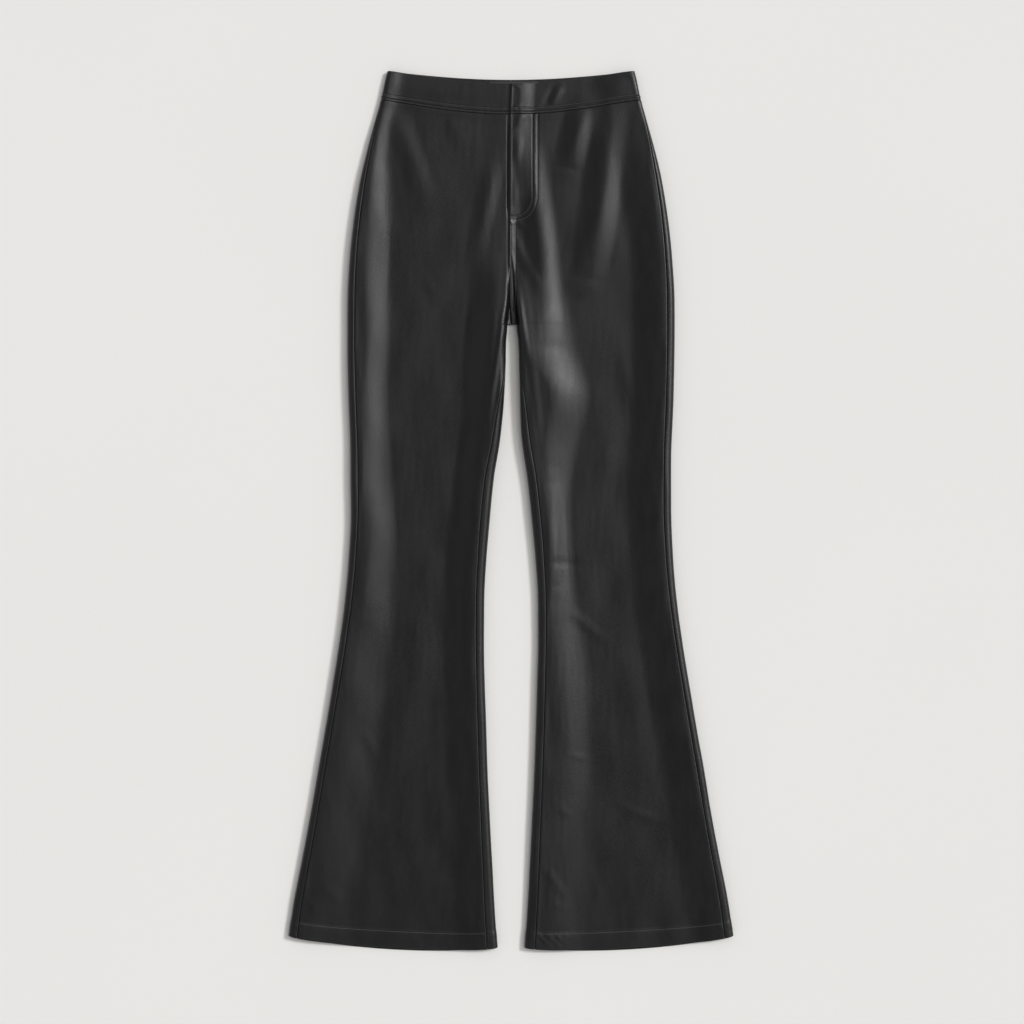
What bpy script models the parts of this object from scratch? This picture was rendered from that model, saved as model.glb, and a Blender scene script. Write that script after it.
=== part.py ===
"""Flared trousers in faux leather, closed at the front and laid flat, face up, on a level surface.

Each piece that is cut and sewn is its own object: two fronts, two backs, four waistband pieces, the zip and the
waist hook under the fly, and the plain label inside the back of the band. A leg is a flattened tube. The back
panel lies flat on the surface, rolls up over both edges of the leg, and meets the front panel a little way in on
top. The front panel sags between the two rolled edges until it almost touches the back.

The frame is +X to the wearer's left, +Y to the waist, +Z up, with the origin on the surface in the middle. All
the tables and sizes are millimetres, and MM turns them into metres when a point is placed.
"""

import bmesh
import bpy
import numpy as np

MM = 0.001

CLOTH_WALL = 1.2
BAND_WALL = 2.0
SEAM_GAP = 0.3
LAP_SLACK = 0.2  # extra room where one sloping layer lies on another
ZIP_WALL = 1.0
HOOK_WALL = 1.0
LABEL_WALL = 1.0

WAIST_Y = 561.9  # top corners of the waistband
BAND_SEAM_Y = 524.6  # the band's seam at the sides
CROTCH_Y = 238.0
HEM_Y = -543.0  # outer corners of the hems

FRONT_TOP_DIP = 15.8  # how far each edge curves down from its side corners to the centre
BACK_TOP_DIP = 10.5
FRONT_SEAM_DIP = 17.8
BACK_SEAM_DIP = 10.5
FRONT_DIP_POWER = 1.35
BACK_DIP_POWER = 1.2
DIP_REACH = 140.0  # the panels' rows straighten this far below the band

HEM_TILT = 15.1  # the hem's inner corner is this much lower than its outer one
HEM_BULGE = 10.7
HEM_BULGE_POWER = 0.8
HEM_REACH = 110.0
FRONT_HEM_SHORT = 3.0  # the back hem shows below the front one

CREST_X = 12.1  # the inner thighs' ridges, just above the crotch
LAP_FOOT = 6.0  # the fronts' lap ends this close above the crotch
ZIP_FOOT_Y = 378.0  # the zip lies between the fronts above this
ZIP_RUN_IN = 12.0

# The outer edge of a leg: its place, the height of the rolled fold, and the side seam's place along the cloth,
# from the crest of the roll, where + is outwards and down.
SIDE = (
    ("y", "x", "fold", "seam"),
    (561.9, 157.8, 8.4, 6.6),
    (524.6, 166.1, 8.8, 6.9),
    (500.0, 172.9, 9.4, 4.0),
    (474.7, 180.2, 10.2, 1.8),
    (450.0, 186.4, 10.9, 0.2),
    (423.5, 192.3, 11.5, -0.8),
    (372.3, 200.7, 12.5, -1.6),
    (321.1, 206.2, 13.0, -2.3),
    (269.9, 208.9, 13.0, -3.0),
    (218.7, 209.3, 13.0, -3.2),
    (141.9, 207.6, 13.0, -3.2),
    (65.0, 205.0, 13.0, -3.2),
    (5.0, 204.5, 12.8, -3.1),
    (-62.9, 207.4, 12.5, -3.0),
    (-114.1, 212.0, 12.5, -2.7),
    (-165.3, 218.6, 12.0, -2.5),
    (-216.5, 226.8, 12.0, -2.5),
    (-318.9, 244.5, 11.5, -3.2),
    (-421.3, 262.4, 11.0, -4.0),
    (-498.0, 277.2, 10.0, -5.2),
    (-543.0, 284.2, 9.0, -6.5),
)

# The inner edge of a leg, below the crotch: its place on either leg, then the same columns, with the inseam in
# place of the side seam. The thighs are fullest where they part.
INNER = (
    ("y", "right", "left", "fold", "seam"),
    (235.0, 4.9, 4.9, 14.4, 15.2),
    (231.0, 5.1, 5.9, 14.5, 15.2),
    (215.0, 6.5, 8.6, 14.5, 14.0),
    (193.1, 6.7, 9.1, 14.5, 11.0),
    (168.0, 7.2, 10.2, 14.5, 4.5),
    (141.9, 8.4, 11.1, 14.4, -3.4),
    (90.7, 13.5, 13.9, 14.0, -5.4),
    (39.5, 21.9, 21.0, 13.6, -5.4),
    (-11.7, 27.2, 26.6, 13.2, -5.0),
    (-62.9, 31.2, 31.3, 12.8, -4.5),
    (-114.1, 33.9, 34.3, 12.4, -4.2),
    (-165.3, 34.4, 34.6, 12.0, -4.2),
    (-216.5, 33.3, 33.4, 12.0, -4.4),
    (-318.9, 30.2, 30.2, 11.5, -5.0),
    (-421.3, 25.6, 25.6, 11.0, -6.0),
    (-498.0, 20.7, 20.7, 10.0, -7.6),
    (-543.0, 17.2, 17.2, 9.0, -8.8),
)

# Height of the upper face in the middle of a panel, on the inner thighs' ridges and in the valley between them.
CENTRE = (
    ("y", "middle", "crest", "valley"),
    (561.9, 5.8, 5.8, 5.8),
    (524.6, 5.8, 5.8, 5.8),
    (450.0, 5.9, 5.9, 5.9),
    (335.0, 5.9, 5.9, 5.9),
    (300.0, 5.8, 8.2, 5.4),
    (270.0, 5.7, 11.8, 4.4),
    (250.0, 5.7, 13.8, 3.8),
    (238.0, 5.7, 14.4, 3.5),
    (100.0, 5.6, 14.4, 3.5),
    (-543.0, 5.2, 14.4, 3.5),
)

# The wearer's left front laps over the right one: where its edge lies, how far it stands up there, how far in
# that stays level and where it has come down, and how far the right front runs on beneath it.
LAP = (
    ("y", "edge", "rise", "level", "width", "under"),
    (561.9, 0.0, 3.6, 12.0, 33.0, 8.0),
    (524.6, 0.0, 3.6, 12.0, 33.0, 8.0),
    (500.0, 0.0, 3.6, 2.0, 33.0, 8.0),
    (404.0, 0.0, 3.4, 0.0, 33.0, 8.0),
    (385.0, -0.6, 2.9, 0.0, 18.0, 6.0),
    (370.0, -1.7, 2.0, 0.0, 9.0, 4.0),
    (275.0, -1.7, 1.9, 0.0, 8.0, 3.0),
    (258.0, -1.0, 1.6, 0.0, 7.0, 1.6),
    (248.0, -0.3, 0.8, 0.0, 7.0, -0.3),
    (238.0, 0.15, 0.0, 0.0, 7.0, -0.3),
)

# How the upper face comes down from each rolled edge: level for the first stretch, then a slope.
SLOPES = (
    ("side", "edge", "level", "slope"),
    ("right", "outer", 10.0, 44.0),
    ("right", "inner", 8.0, 40.0),
    ("left", "outer", 6.0, 46.0),
    ("left", "inner", 22.0, 50.0),
)

# The folds fade out over these widths beside the rolled edges.
OUTER_CLEAR = 20.0
INNER_CLEAR = 16.0

# The largest folds: a crest from a start by a middle to an end point, its reach to either side and its height.
FOLDS = (
    ("name", "start", "middle", "end", "reach", "height"),
    ("right hip crease", (-152, 515), (-129, 450), (-104, 372), 17, 1.8),
    ("right fly drag", (-18, 430), (-26, 390), (-36, 345), 12, 1.3),
    ("right knee swell", (-170, 10), (-176, -60), (-190, -130), 30, 1.6),
    ("right calf fold", (-120, -120), (-128, -230), (-160, -400), 34, 1.5),
    ("left hip fold", (138, 524), (108, 400), (92, 312), 30, 3.2),
    ("left waist crease", (82, 515), (92, 480), (106, 446), 12, 1.6),
    ("left thigh fold", (46, 470), (50, 350), (38, 245), 22, 2.4),
    ("left crotch whisker", (10, 350), (26, 318), (44, 284), 10, 1.6),
    ("left knee swell", (56, 20), (60, -40), (62, -90), 26, 2.4),
    ("left knee crease", (40, -70), (70, -64), (104, -70), 9, -1.8),
    ("left shin crease", (78, -128), (98, -146), (126, -168), 12, 1.5),
    ("left calf fold", (58, -140), (72, -250), (70, -370), 28, 2.0),
    ("left calf outer fold", (150, -165), (158, -270), (166, -370), 26, 1.6),
    ("left flare crease", (142, -382), (168, -390), (196, -398), 12, 1.4),
)

CREST_SAMPLES = 25  # points along a fold's crest that its reach is measured from
FOLD_ENDS = (0.04, 0.96)  # shares of its crest beyond which a fold gets no lower
FOLD_TAPER = 0.7  # power of the sine that tapers a fold to its ends

# Stations along the garment, closest where the thighs part.
PANEL_ROWS = (
    524.45, 512, 500, 487, 475, 450, 425, 404, 387, 370, 345, 320, 300, 284, 270, 258, 248, 242, 238,
    235, 231, 224, 213, 202, 190, 178, 165, 150, 130, 105, 75, 40, 0, -40, -66, -92, -135, -185,
    -240, -300, -360, -420, -465, -500, -525, -543,
)
BAND_ROWS = 4  # steps up the height of the band

# Distances along the cloth, in from each end of a front, where its columns lie, and how many share the middle.
FRONT_INNER_STEPS = (0, 2.5, 6, 10, 14, 18, 28, 45)
FRONT_OUTER_STEPS = (56, 40, 26, 14, 7, 3, 0)
FRONT_MIDDLE_COLUMNS = 2
ROLL_COLUMNS = 6
BOTTOM_COLUMNS = 4

ZIP_X = (2.0, 24.0)
ZIP_Y = (394.0, 498.0)
ZIP_ROWS = 9
ZIP_COLUMNS = 8
ZIP_SLACK = 0.45  # room above the zip under the curved fly
BAND_UNDERLAP = 18.0  # the right front band runs on this far beneath the left one
HOOK_SIZE = (9.0, 14.0)
HOOK_CENTRE = (7.0, 526.0)
LABEL_X = (-28.0, 34.6)
LABEL_Y = (529.0, 548.9)

LAP_RUN_IN = 7.0  # the right front comes to its place under the lap over this width
PATH_SAMPLES = 60  # points along each stretch of a section before its columns are read off

FAUX_LEATHER = ("faux_leather", (0.021, 0.021, 0.022, 1.0), 0.42, 0.0)
FACING_CLOTH = ("facing_cloth", (0.03, 0.03, 0.032, 1.0), 0.8, 0.0)
DARK_METAL = ("dark_metal", (0.25, 0.25, 0.26, 1.0), 0.35, 1.0)


def smooth(share):
    """A soft step from 0 to 1, level at both ends."""
    share = np.clip(share, 0.0, 1.0)
    return share * share * (3.0 - 2.0 * share)


def column_curve(table, column):
    """A smooth curve through one column of a table, with no overshoot between its rows."""
    rows = np.array(sorted(table[1:]), float)
    ys, values = rows[:, 0], rows[:, table[0].index(column)]
    slopes = np.diff(values) / np.diff(ys)
    tangents = np.concatenate((slopes[:1], np.zeros(len(ys) - 2), slopes[-1:]))
    before, after = slopes[:-1], slopes[1:]
    same_way = before * after > 0
    tangents[1:-1][same_way] = (2 * before * after)[same_way] / (before + after)[same_way]

    def value(y):
        y = min(max(y, ys[0]), ys[-1])
        i = min(int(np.searchsorted(ys, y, side="right")) - 1, len(ys) - 2)
        step = ys[i + 1] - ys[i]
        t = (y - ys[i]) / step
        start = (1 + 2 * t) * (1 - t) ** 2 * values[i] + t * t * (3 - 2 * t) * values[i + 1]
        return start + step * (t * (1 - t) ** 2 * tangents[i] - t * t * (1 - t) * tangents[i + 1])

    return value


side_x, side_fold, side_seam = (column_curve(SIDE, head) for head in SIDE[0][1:])
inner_fold, inner_seam = (column_curve(INNER, head) for head in ("fold", "seam"))
INNER_X_OF = {side: column_curve(INNER, side) for side in ("right", "left")}
middle_z, crest_z, valley_z = (column_curve(CENTRE, head) for head in CENTRE[0][1:])
lap_edge, lap_rise, lap_level, lap_width, lap_under = (column_curve(LAP, head) for head in LAP[0][1:])
SLOPE_OF = {row[:2]: row[2:] for row in SLOPES[1:]}
SIGN_OF = {"right": -1, "left": 1}


def slope_down(distance, side, edge):
    """Share of a rolled edge's height that is left at a distance in from its crest."""
    level, slope = SLOPE_OF[side, edge]
    return 1.0 - smooth((distance - level) / slope)


def fold_heights(x, y):
    """What the largest folds add to the upper face at the points x on the line y, in the garment's own frame."""
    total = np.zeros_like(x)
    for _, *points, reach, height in FOLDS[1:]:
        start, middle, end = (np.array(point, float) for point in points)
        t = np.linspace(0.0, 1.0, CREST_SAMPLES)[:, None]
        crest = (1 - t) ** 2 * start + 2 * t * (1 - t) * (2 * middle - (start + end) / 2) + t * t * end
        away = np.hypot(x[:, None] - crest[:, 0], y - crest[:, 1])
        nearest = away.argmin(axis=1)
        taper = np.sin(np.pi * np.clip(t[nearest, 0], *FOLD_ENDS)) ** FOLD_TAPER
        total += height * taper * (1.0 - smooth(away.min(axis=1) / reach))
    return total


def upper_face(x, y, side):
    """Heights of the upper face of the cloth at distances x from the centre line, without the fly's lap."""
    outer_fold = side_fold(y)
    middle = middle_z(y)
    from_crest = side_x(y) - outer_fold / 2 - x
    height = middle + (outer_fold - middle) * slope_down(from_crest, side, "outer")
    inside = smooth(from_crest / OUTER_CLEAR)
    if y < CROTCH_Y:
        fold = inner_fold(y)
        from_inner = x - INNER_X_OF[side](y) - fold / 2
        height += (fold - middle) * slope_down(from_inner, side, "inner")
        inside *= smooth(from_inner / INNER_CLEAR)
    else:
        ridge = (crest_z(y) - middle) * slope_down(x - CREST_X, side, "inner")
        valley = (crest_z(y) - valley_z(y)) * (1.0 - smooth(x / CREST_X))
        height += ridge - valley
    return height + inside * fold_heights(SIGN_OF[side] * x, y)


def lap_height(x, y):
    """How far the left front stands above the general face at distances x from its own edge."""
    level = lap_level(y)
    return lap_rise(y) * (1.0 - smooth((x - level) / (lap_width(y) - level)))


def lap_drop(y):
    """Depth from the left front's upper face to the right front's, where one lies on the other."""
    at_zip = float(smooth((y - ZIP_FOOT_Y) / ZIP_RUN_IN))
    above_crotch = float(smooth((y - CROTCH_Y) / LAP_FOOT))
    return above_crotch * (CLOTH_WALL + SEAM_GAP + LAP_SLACK + (ZIP_WALL + SEAM_GAP) * at_zip)


def front_centre_height(x, y, side):
    """Heights near the centre front, at the garment's own x, for the front on the side named."""
    height = upper_face(np.abs(x), y, side)
    past_edge = x - lap_edge(y)
    if side == "left":
        return height + lap_height(np.maximum(past_edge, 0.0), y)
    if y > BAND_SEAM_Y:
        return height
    joins = smooth((past_edge + LAP_RUN_IN) / LAP_RUN_IN)
    return height + joins * (lap_height(np.maximum(past_edge, 0.0), y) - lap_drop(y))


def roll(crest_x, fold, outwards, start, end):
    """Points round a rolled edge, between two angles from its crest, as x and z."""
    angles = np.linspace(start, end, PATH_SAMPLES)
    radius = fold / 2
    return np.column_stack((crest_x + outwards * radius * np.sin(angles), radius * (1 + np.cos(angles))))


def half_gap(fold, y):
    """Half of a seam's gap along the outer face of a roll, for a gap of SEAM_GAP halfway into the wall."""
    wall = BAND_WALL if y > BAND_SEAM_Y else CLOTH_WALL
    return SEAM_GAP / 2 * fold / (fold - wall)


def front_path(y, side):
    """The front's upper face along one section, from the centre or inseam to the side seam, as x and z."""
    sign = SIGN_OF[side]
    fold = side_fold(y)
    outer_crest = side_x(y) - fold / 2
    to_seam = side_seam(y) - half_gap(fold, y)
    if y >= CROTCH_Y:
        reach = BAND_UNDERLAP if y > BAND_SEAM_Y else lap_under(y)
        start = lap_edge(y) if side == "left" else -lap_edge(y) - reach
        parts = []
    else:
        leg_fold = inner_fold(y)
        start = INNER_X_OF[side](y) + leg_fold / 2
        to_inseam = inner_seam(y) - half_gap(leg_fold, y)
        parts = [roll(start, leg_fold, -1, 2 * to_inseam / leg_fold, 0.0)] if to_inseam > 0 else []
        start -= min(to_inseam, 0.0)
    x = np.linspace(start, outer_crest + min(to_seam, 0.0), 4 * PATH_SAMPLES)
    z = front_centre_height(sign * x, y, side) if y >= CROTCH_Y else upper_face(x, y, side)
    parts.append(np.column_stack((x, z)))
    if to_seam > 0:
        parts.append(roll(outer_crest, fold, 1, 0.0, 2 * to_seam / fold))
    return chain(parts)


def back_paths(y, side):
    """The back's outer face along one section, in three stretches: over the outer edge, below, up the inner edge."""
    fold = side_fold(y)
    outer_crest = side_x(y) - fold / 2
    to_seam = side_seam(y) + half_gap(fold, y)
    outer = roll(outer_crest, fold, 1, max(to_seam, 0.0) * 2 / fold, np.pi)
    if to_seam < 0:
        x = np.linspace(outer_crest + to_seam, outer_crest, PATH_SAMPLES)
        outer = chain((np.column_stack((x, upper_face(x, y, side))), outer))
    if y >= CROTCH_Y:
        turn = CREST_X
        inner = np.column_stack((np.linspace(turn, SEAM_GAP / 2, PATH_SAMPLES), np.zeros(PATH_SAMPLES)))
    else:
        leg_fold = inner_fold(y)
        turn = INNER_X_OF[side](y) + leg_fold / 2
        to_inseam = inner_seam(y) + half_gap(leg_fold, y)
        inner = roll(turn, leg_fold, -1, np.pi, max(to_inseam, 0.0) * 2 / leg_fold)
        if to_inseam < 0:
            x = np.linspace(turn, turn - to_inseam, PATH_SAMPLES)
            inner = chain((inner, np.column_stack((x, upper_face(x, y, side)))))
    below = np.array(((outer_crest, 0.0), (turn, 0.0)))
    return outer, below, inner


def chain(parts):
    """Stretches of a path joined end to end, without the points that repeat."""
    path = np.vstack(parts)
    moves = np.hypot(*np.diff(path, axis=0).T) > 1e-6
    return path[np.concatenate(((True,), moves))]


def lengths_along(path):
    """The distance of each point of a path from its start."""
    return np.concatenate(([0.0], np.cumsum(np.hypot(*np.diff(path, axis=0).T))))


def read_off(path, distances, wall):
    """Points at the given distances along a path, as x and z, and the points square to them inside the wall."""
    lengths = lengths_along(path)
    outer = np.column_stack([np.interp(distances, lengths, path[:, axis]) for axis in (0, 1)])
    run, rise = (np.interp(distances, lengths, np.gradient(path[:, axis], lengths)) for axis in (0, 1))
    size = np.hypot(run, rise)
    return np.hstack((outer, outer - wall * np.column_stack((-rise / size, run / size))))


def front_columns(y, side, wall):
    """The columns of a front along one section."""
    path = front_path(y, side)
    total = lengths_along(path)[-1]
    first, last = FRONT_INNER_STEPS[-1], total - FRONT_OUTER_STEPS[0]
    middle = np.linspace(first, last, FRONT_MIDDLE_COLUMNS + 2)[1:-1]
    outer = total - np.array(FRONT_OUTER_STEPS)
    return read_off(path, np.concatenate((FRONT_INNER_STEPS, middle, outer)), wall)


def back_columns(y, side, wall):
    """The columns of a back along one section, from the side seam to the inseam or the centre back."""
    stretches = []
    for path, count in zip(back_paths(y, side), (ROLL_COLUMNS, BOTTOM_COLUMNS, ROLL_COLUMNS)):
        distances = np.linspace(0.0, lengths_along(path)[-1], count + 1)
        stretches.append(read_off(path, distances, wall))
    outer, below, inner = stretches
    return np.vstack((outer, below[1:-1], inner))


def dip(x, y, depth, power):
    """How far an edge of the waist lies below its side corner, at distances x from the centre."""
    across = np.clip(np.abs(x) / side_x(y), 0.0, 1.0)
    return depth * (1.0 - across * across) ** power


def hem_drop(x, y, side, is_front):
    """How far the hem lies below its outer corner."""
    across = np.clip((side_x(y) - x) / (side_x(y) - INNER_X_OF[side](y)), 0.0, 1.0)
    bulge = HEM_BULGE * (4 * across * (1 - across)) ** HEM_BULGE_POWER
    short = FRONT_HEM_SHORT * np.sin(np.pi * across) ** 2 if is_front else 0.0
    return HEM_TILT * across + bulge - short


def place(columns, y, down, side):
    """The outer and the inner points of one section, in the garment's frame."""
    along = y - down
    outer_x, outer_z, inner_x, inner_z = columns.T
    outer = np.column_stack((SIGN_OF[side] * outer_x, along, outer_z))
    inner = np.column_stack((SIGN_OF[side] * inner_x, along, inner_z))
    return outer, inner


def panel_points(side, is_front):
    """Rows of points of one panel, bent to the band's seam at the top and to the hem at the bottom."""
    columns_at = front_columns if is_front else back_columns
    depth, power = (FRONT_SEAM_DIP, FRONT_DIP_POWER) if is_front else (BACK_SEAM_DIP, BACK_DIP_POWER)
    rows = []
    for y in PANEL_ROWS:
        columns = columns_at(y, side, CLOTH_WALL)
        x = columns[:, 0]
        at_band = float(smooth((y - BAND_SEAM_Y + DIP_REACH) / DIP_REACH))
        at_hem = float(smooth((HEM_Y + HEM_REACH - y) / HEM_REACH))
        down = at_band * dip(x, y, depth, power)
        if at_hem > 0:
            down = down + at_hem * hem_drop(x, y, side, is_front)
        rows.append(place(columns, y, down, side))
    return np.array(rows)


def band_points(side, is_front):
    """Rows of points of one waistband piece, from its seam to its top edge."""
    columns_at = front_columns if is_front else back_columns
    top_dip = FRONT_TOP_DIP if is_front else BACK_TOP_DIP
    seam_dip, power = (FRONT_SEAM_DIP, FRONT_DIP_POWER) if is_front else (BACK_SEAM_DIP, BACK_DIP_POWER)
    rows = []
    for y in np.linspace(WAIST_Y, BAND_SEAM_Y + SEAM_GAP / 2, BAND_ROWS + 1):
        columns = columns_at(y, side, BAND_WALL)
        up = (y - BAND_SEAM_Y) / (WAIST_Y - BAND_SEAM_Y)
        depth = seam_dip + up * (top_dip - seam_dip)
        rows.append(place(columns, y, dip(columns[:, 0], y, depth, power), side))
    return np.array(rows)


def make_material(finish):
    """The material of a finish, made once."""
    name, colour, roughness, metallic = finish
    material = bpy.data.materials.get(name)
    if material is None:
        material = bpy.data.materials.new(name)
        material.use_nodes = True
        shader = material.node_tree.nodes["Principled BSDF"]
        shader.inputs["Base Color"].default_value = colour
        shader.inputs["Roughness"].default_value = roughness
        shader.inputs["Metallic"].default_value = metallic
    return material


def sheet(name, rows, finish, collection):
    """A piece of cloth: a flat grid given a second side, then moved to its rows of outer and inner points."""
    count_rows, count_columns = rows.shape[0] - 1, rows.shape[2] - 1
    bm = bmesh.new()
    bmesh.ops.create_grid(bm, x_segments=count_columns, y_segments=count_rows, size=0.5)
    doubled = bmesh.ops.extrude_face_region(bm, geom=bm.faces[:])
    inner_verts = {item for item in doubled["geom"] if isinstance(item, bmesh.types.BMVert)}
    for vert in bm.verts:
        column = round((vert.co.x + 0.5) * count_columns)
        row = round((vert.co.y + 0.5) * count_rows)
        vert.co = rows[row, int(vert in inner_verts), column] * MM
    bmesh.ops.recalc_face_normals(bm, faces=bm.faces)
    mesh = bpy.data.meshes.new(name)
    bm.to_mesh(mesh)
    bm.free()
    mesh.materials.append(make_material(finish))
    piece = bpy.data.objects.new(name, mesh)
    collection.objects.link(piece)
    return piece


def make_zip(collection):
    """The closed zip, flat between the two fronts behind the fly."""
    rows = []
    for y in np.linspace(*ZIP_Y, ZIP_ROWS):
        x = np.linspace(*ZIP_X, ZIP_COLUMNS)
        at_band = float(smooth((y - BAND_SEAM_Y + DIP_REACH) / DIP_REACH))
        along = y - at_band * dip(x, y, FRONT_SEAM_DIP, FRONT_DIP_POWER)
        top = front_centre_height(x, y, "left") - CLOTH_WALL - ZIP_SLACK
        rows.append((np.column_stack((x, along, top)), np.column_stack((x, along, top - ZIP_WALL))))
    return sheet("zip", np.array(rows), DARK_METAL, collection)


def make_plate(name, centre, size, bottom, wall, finish, collection):
    """A small flat piece, given by the middle and the size of its outline and by its height."""
    bm = bmesh.new()
    bmesh.ops.create_cube(bm, size=1.0)
    bmesh.ops.scale(bm, vec=(size[0] * MM, size[1] * MM, wall * MM), verts=bm.verts)
    place = (centre[0] * MM, centre[1] * MM, (bottom + wall / 2) * MM)
    bmesh.ops.translate(bm, vec=place, verts=bm.verts)
    mesh = bpy.data.meshes.new(name)
    bm.to_mesh(mesh)
    bm.free()
    mesh.materials.append(make_material(finish))
    plate = bpy.data.objects.new(name, mesh)
    collection.objects.link(plate)
    return plate


def main():
    """Build every piece of the trousers."""
    for old in list(bpy.data.objects):
        bpy.data.objects.remove(old)
    collection = bpy.data.collections.new("flared_trousers")
    bpy.context.scene.collection.children.link(collection)

    for side in ("right", "left"):
        for face, is_front in (("front", True), ("back", False)):
            sheet(f"{face}_{side}", panel_points(side, is_front), FAUX_LEATHER, collection)
            sheet(f"waistband_{face}_{side}", band_points(side, is_front), FAUX_LEATHER, collection)

    make_zip(collection)
    band_top = middle_z(HOOK_CENTRE[1])
    make_plate("waist_hook", HOOK_CENTRE, HOOK_SIZE, band_top + SEAM_GAP, HOOK_WALL, DARK_METAL, collection)
    label_centre = (sum(LABEL_X) / 2, sum(LABEL_Y) / 2)
    label_size = (LABEL_X[1] - LABEL_X[0], LABEL_Y[1] - LABEL_Y[0])
    label_bottom = BAND_WALL + SEAM_GAP
    make_plate("inner_label", label_centre, label_size, label_bottom, LABEL_WALL, FACING_CLOTH, collection)


main()
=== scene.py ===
"""Looks of a pair of flared trousers in black faux leather, closed at the front and laid flat, face up.

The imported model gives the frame: +X to the wearer's left, +Y to the waist, +Z up out of the floor.
Each cut piece is dressed by its own shell of cloth, with the folds, seams and stitching of the real one. The
tables and sizes are millimetres, and MM turns them into metres when a point is placed.
"""

import logging
import math
from collections.abc import Sequence
from dataclasses import dataclass, field
from enum import Enum

import bmesh
import bpy
import numpy as np
from mathutils import Matrix, Vector
from mathutils.bvhtree import BVHTree


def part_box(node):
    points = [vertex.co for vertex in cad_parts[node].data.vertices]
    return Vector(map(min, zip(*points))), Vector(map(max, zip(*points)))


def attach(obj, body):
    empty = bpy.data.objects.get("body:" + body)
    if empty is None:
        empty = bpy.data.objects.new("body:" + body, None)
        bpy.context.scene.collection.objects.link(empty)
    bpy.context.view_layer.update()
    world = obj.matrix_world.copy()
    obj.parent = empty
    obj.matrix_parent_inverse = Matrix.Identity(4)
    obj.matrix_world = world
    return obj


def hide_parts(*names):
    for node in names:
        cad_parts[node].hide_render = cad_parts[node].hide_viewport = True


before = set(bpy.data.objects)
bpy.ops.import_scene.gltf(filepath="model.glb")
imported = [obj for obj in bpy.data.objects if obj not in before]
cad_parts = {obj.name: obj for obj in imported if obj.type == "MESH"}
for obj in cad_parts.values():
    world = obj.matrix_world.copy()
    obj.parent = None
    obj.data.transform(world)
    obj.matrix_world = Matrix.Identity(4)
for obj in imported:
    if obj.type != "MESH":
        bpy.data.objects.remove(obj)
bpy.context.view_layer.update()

LOG = logging.getLogger("flared_trousers")
MM = 0.001
BODY = "root"


class Side(Enum):
    """The wearer's sides, with the sign of X on each."""

    RIGHT = -1
    LEFT = 1

    @property
    def word(self) -> str:
        """The side's name as the nodes spell it."""
        return self.name.lower()


def smooth(share: np.ndarray | float) -> np.ndarray:
    """A soft step from 0 to 1, level at both ends."""
    share = np.clip(share, 0.0, 1.0)
    return share * share * (3.0 - 2.0 * share)


def bell(distance: np.ndarray, reach: float) -> np.ndarray:
    """A soft hump, 1 at no distance and 0 from the reach onwards."""
    return 1.0 - smooth(np.abs(distance) / reach)


class Track:
    """A smooth curve through one column of a table, with no overshoot between its rows."""

    def __init__(self, table: Sequence[Sequence], column: str) -> None:
        """Read the column.

        Args:
            table: a row of heads, then rows of numbers whose first is the place along the garment.
            column: the head of the column.
        """
        rows = np.array(sorted(table[1:]), float)
        self.places = rows[:, 0]
        self.values = rows[:, table[0].index(column)]
        slopes = np.diff(self.values) / np.diff(self.places)
        self.tangents = np.concatenate((slopes[:1], np.zeros(len(rows) - 2), slopes[-1:]))
        before, after = slopes[:-1], slopes[1:]
        same_way = before * after > 0
        self.tangents[1:-1][same_way] = (2 * before * after)[same_way] / (before + after)[same_way]

    def __call__(self, y: float) -> float:
        """The column's value at a place."""
        y = min(max(y, self.places[0]), self.places[-1])
        i = min(int(np.searchsorted(self.places, y, side="right")) - 1, len(self.places) - 2)
        step = self.places[i + 1] - self.places[i]
        t = (y - self.places[i]) / step
        level = (1 + 2 * t) * (1 - t) ** 2 * self.values[i] + t * t * (3 - 2 * t) * self.values[i + 1]
        lean = t * (1 - t) ** 2 * self.tangents[i] - t * t * (1 - t) * self.tangents[i + 1]
        return float(level + step * lean)


def tracks(table: Sequence[Sequence], first: int = 1, last: int | None = None) -> list[Track]:
    """A smooth curve through each of a table's columns, or through those from first up to last."""
    return [Track(table, head) for head in table[0][first:last]]


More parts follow.
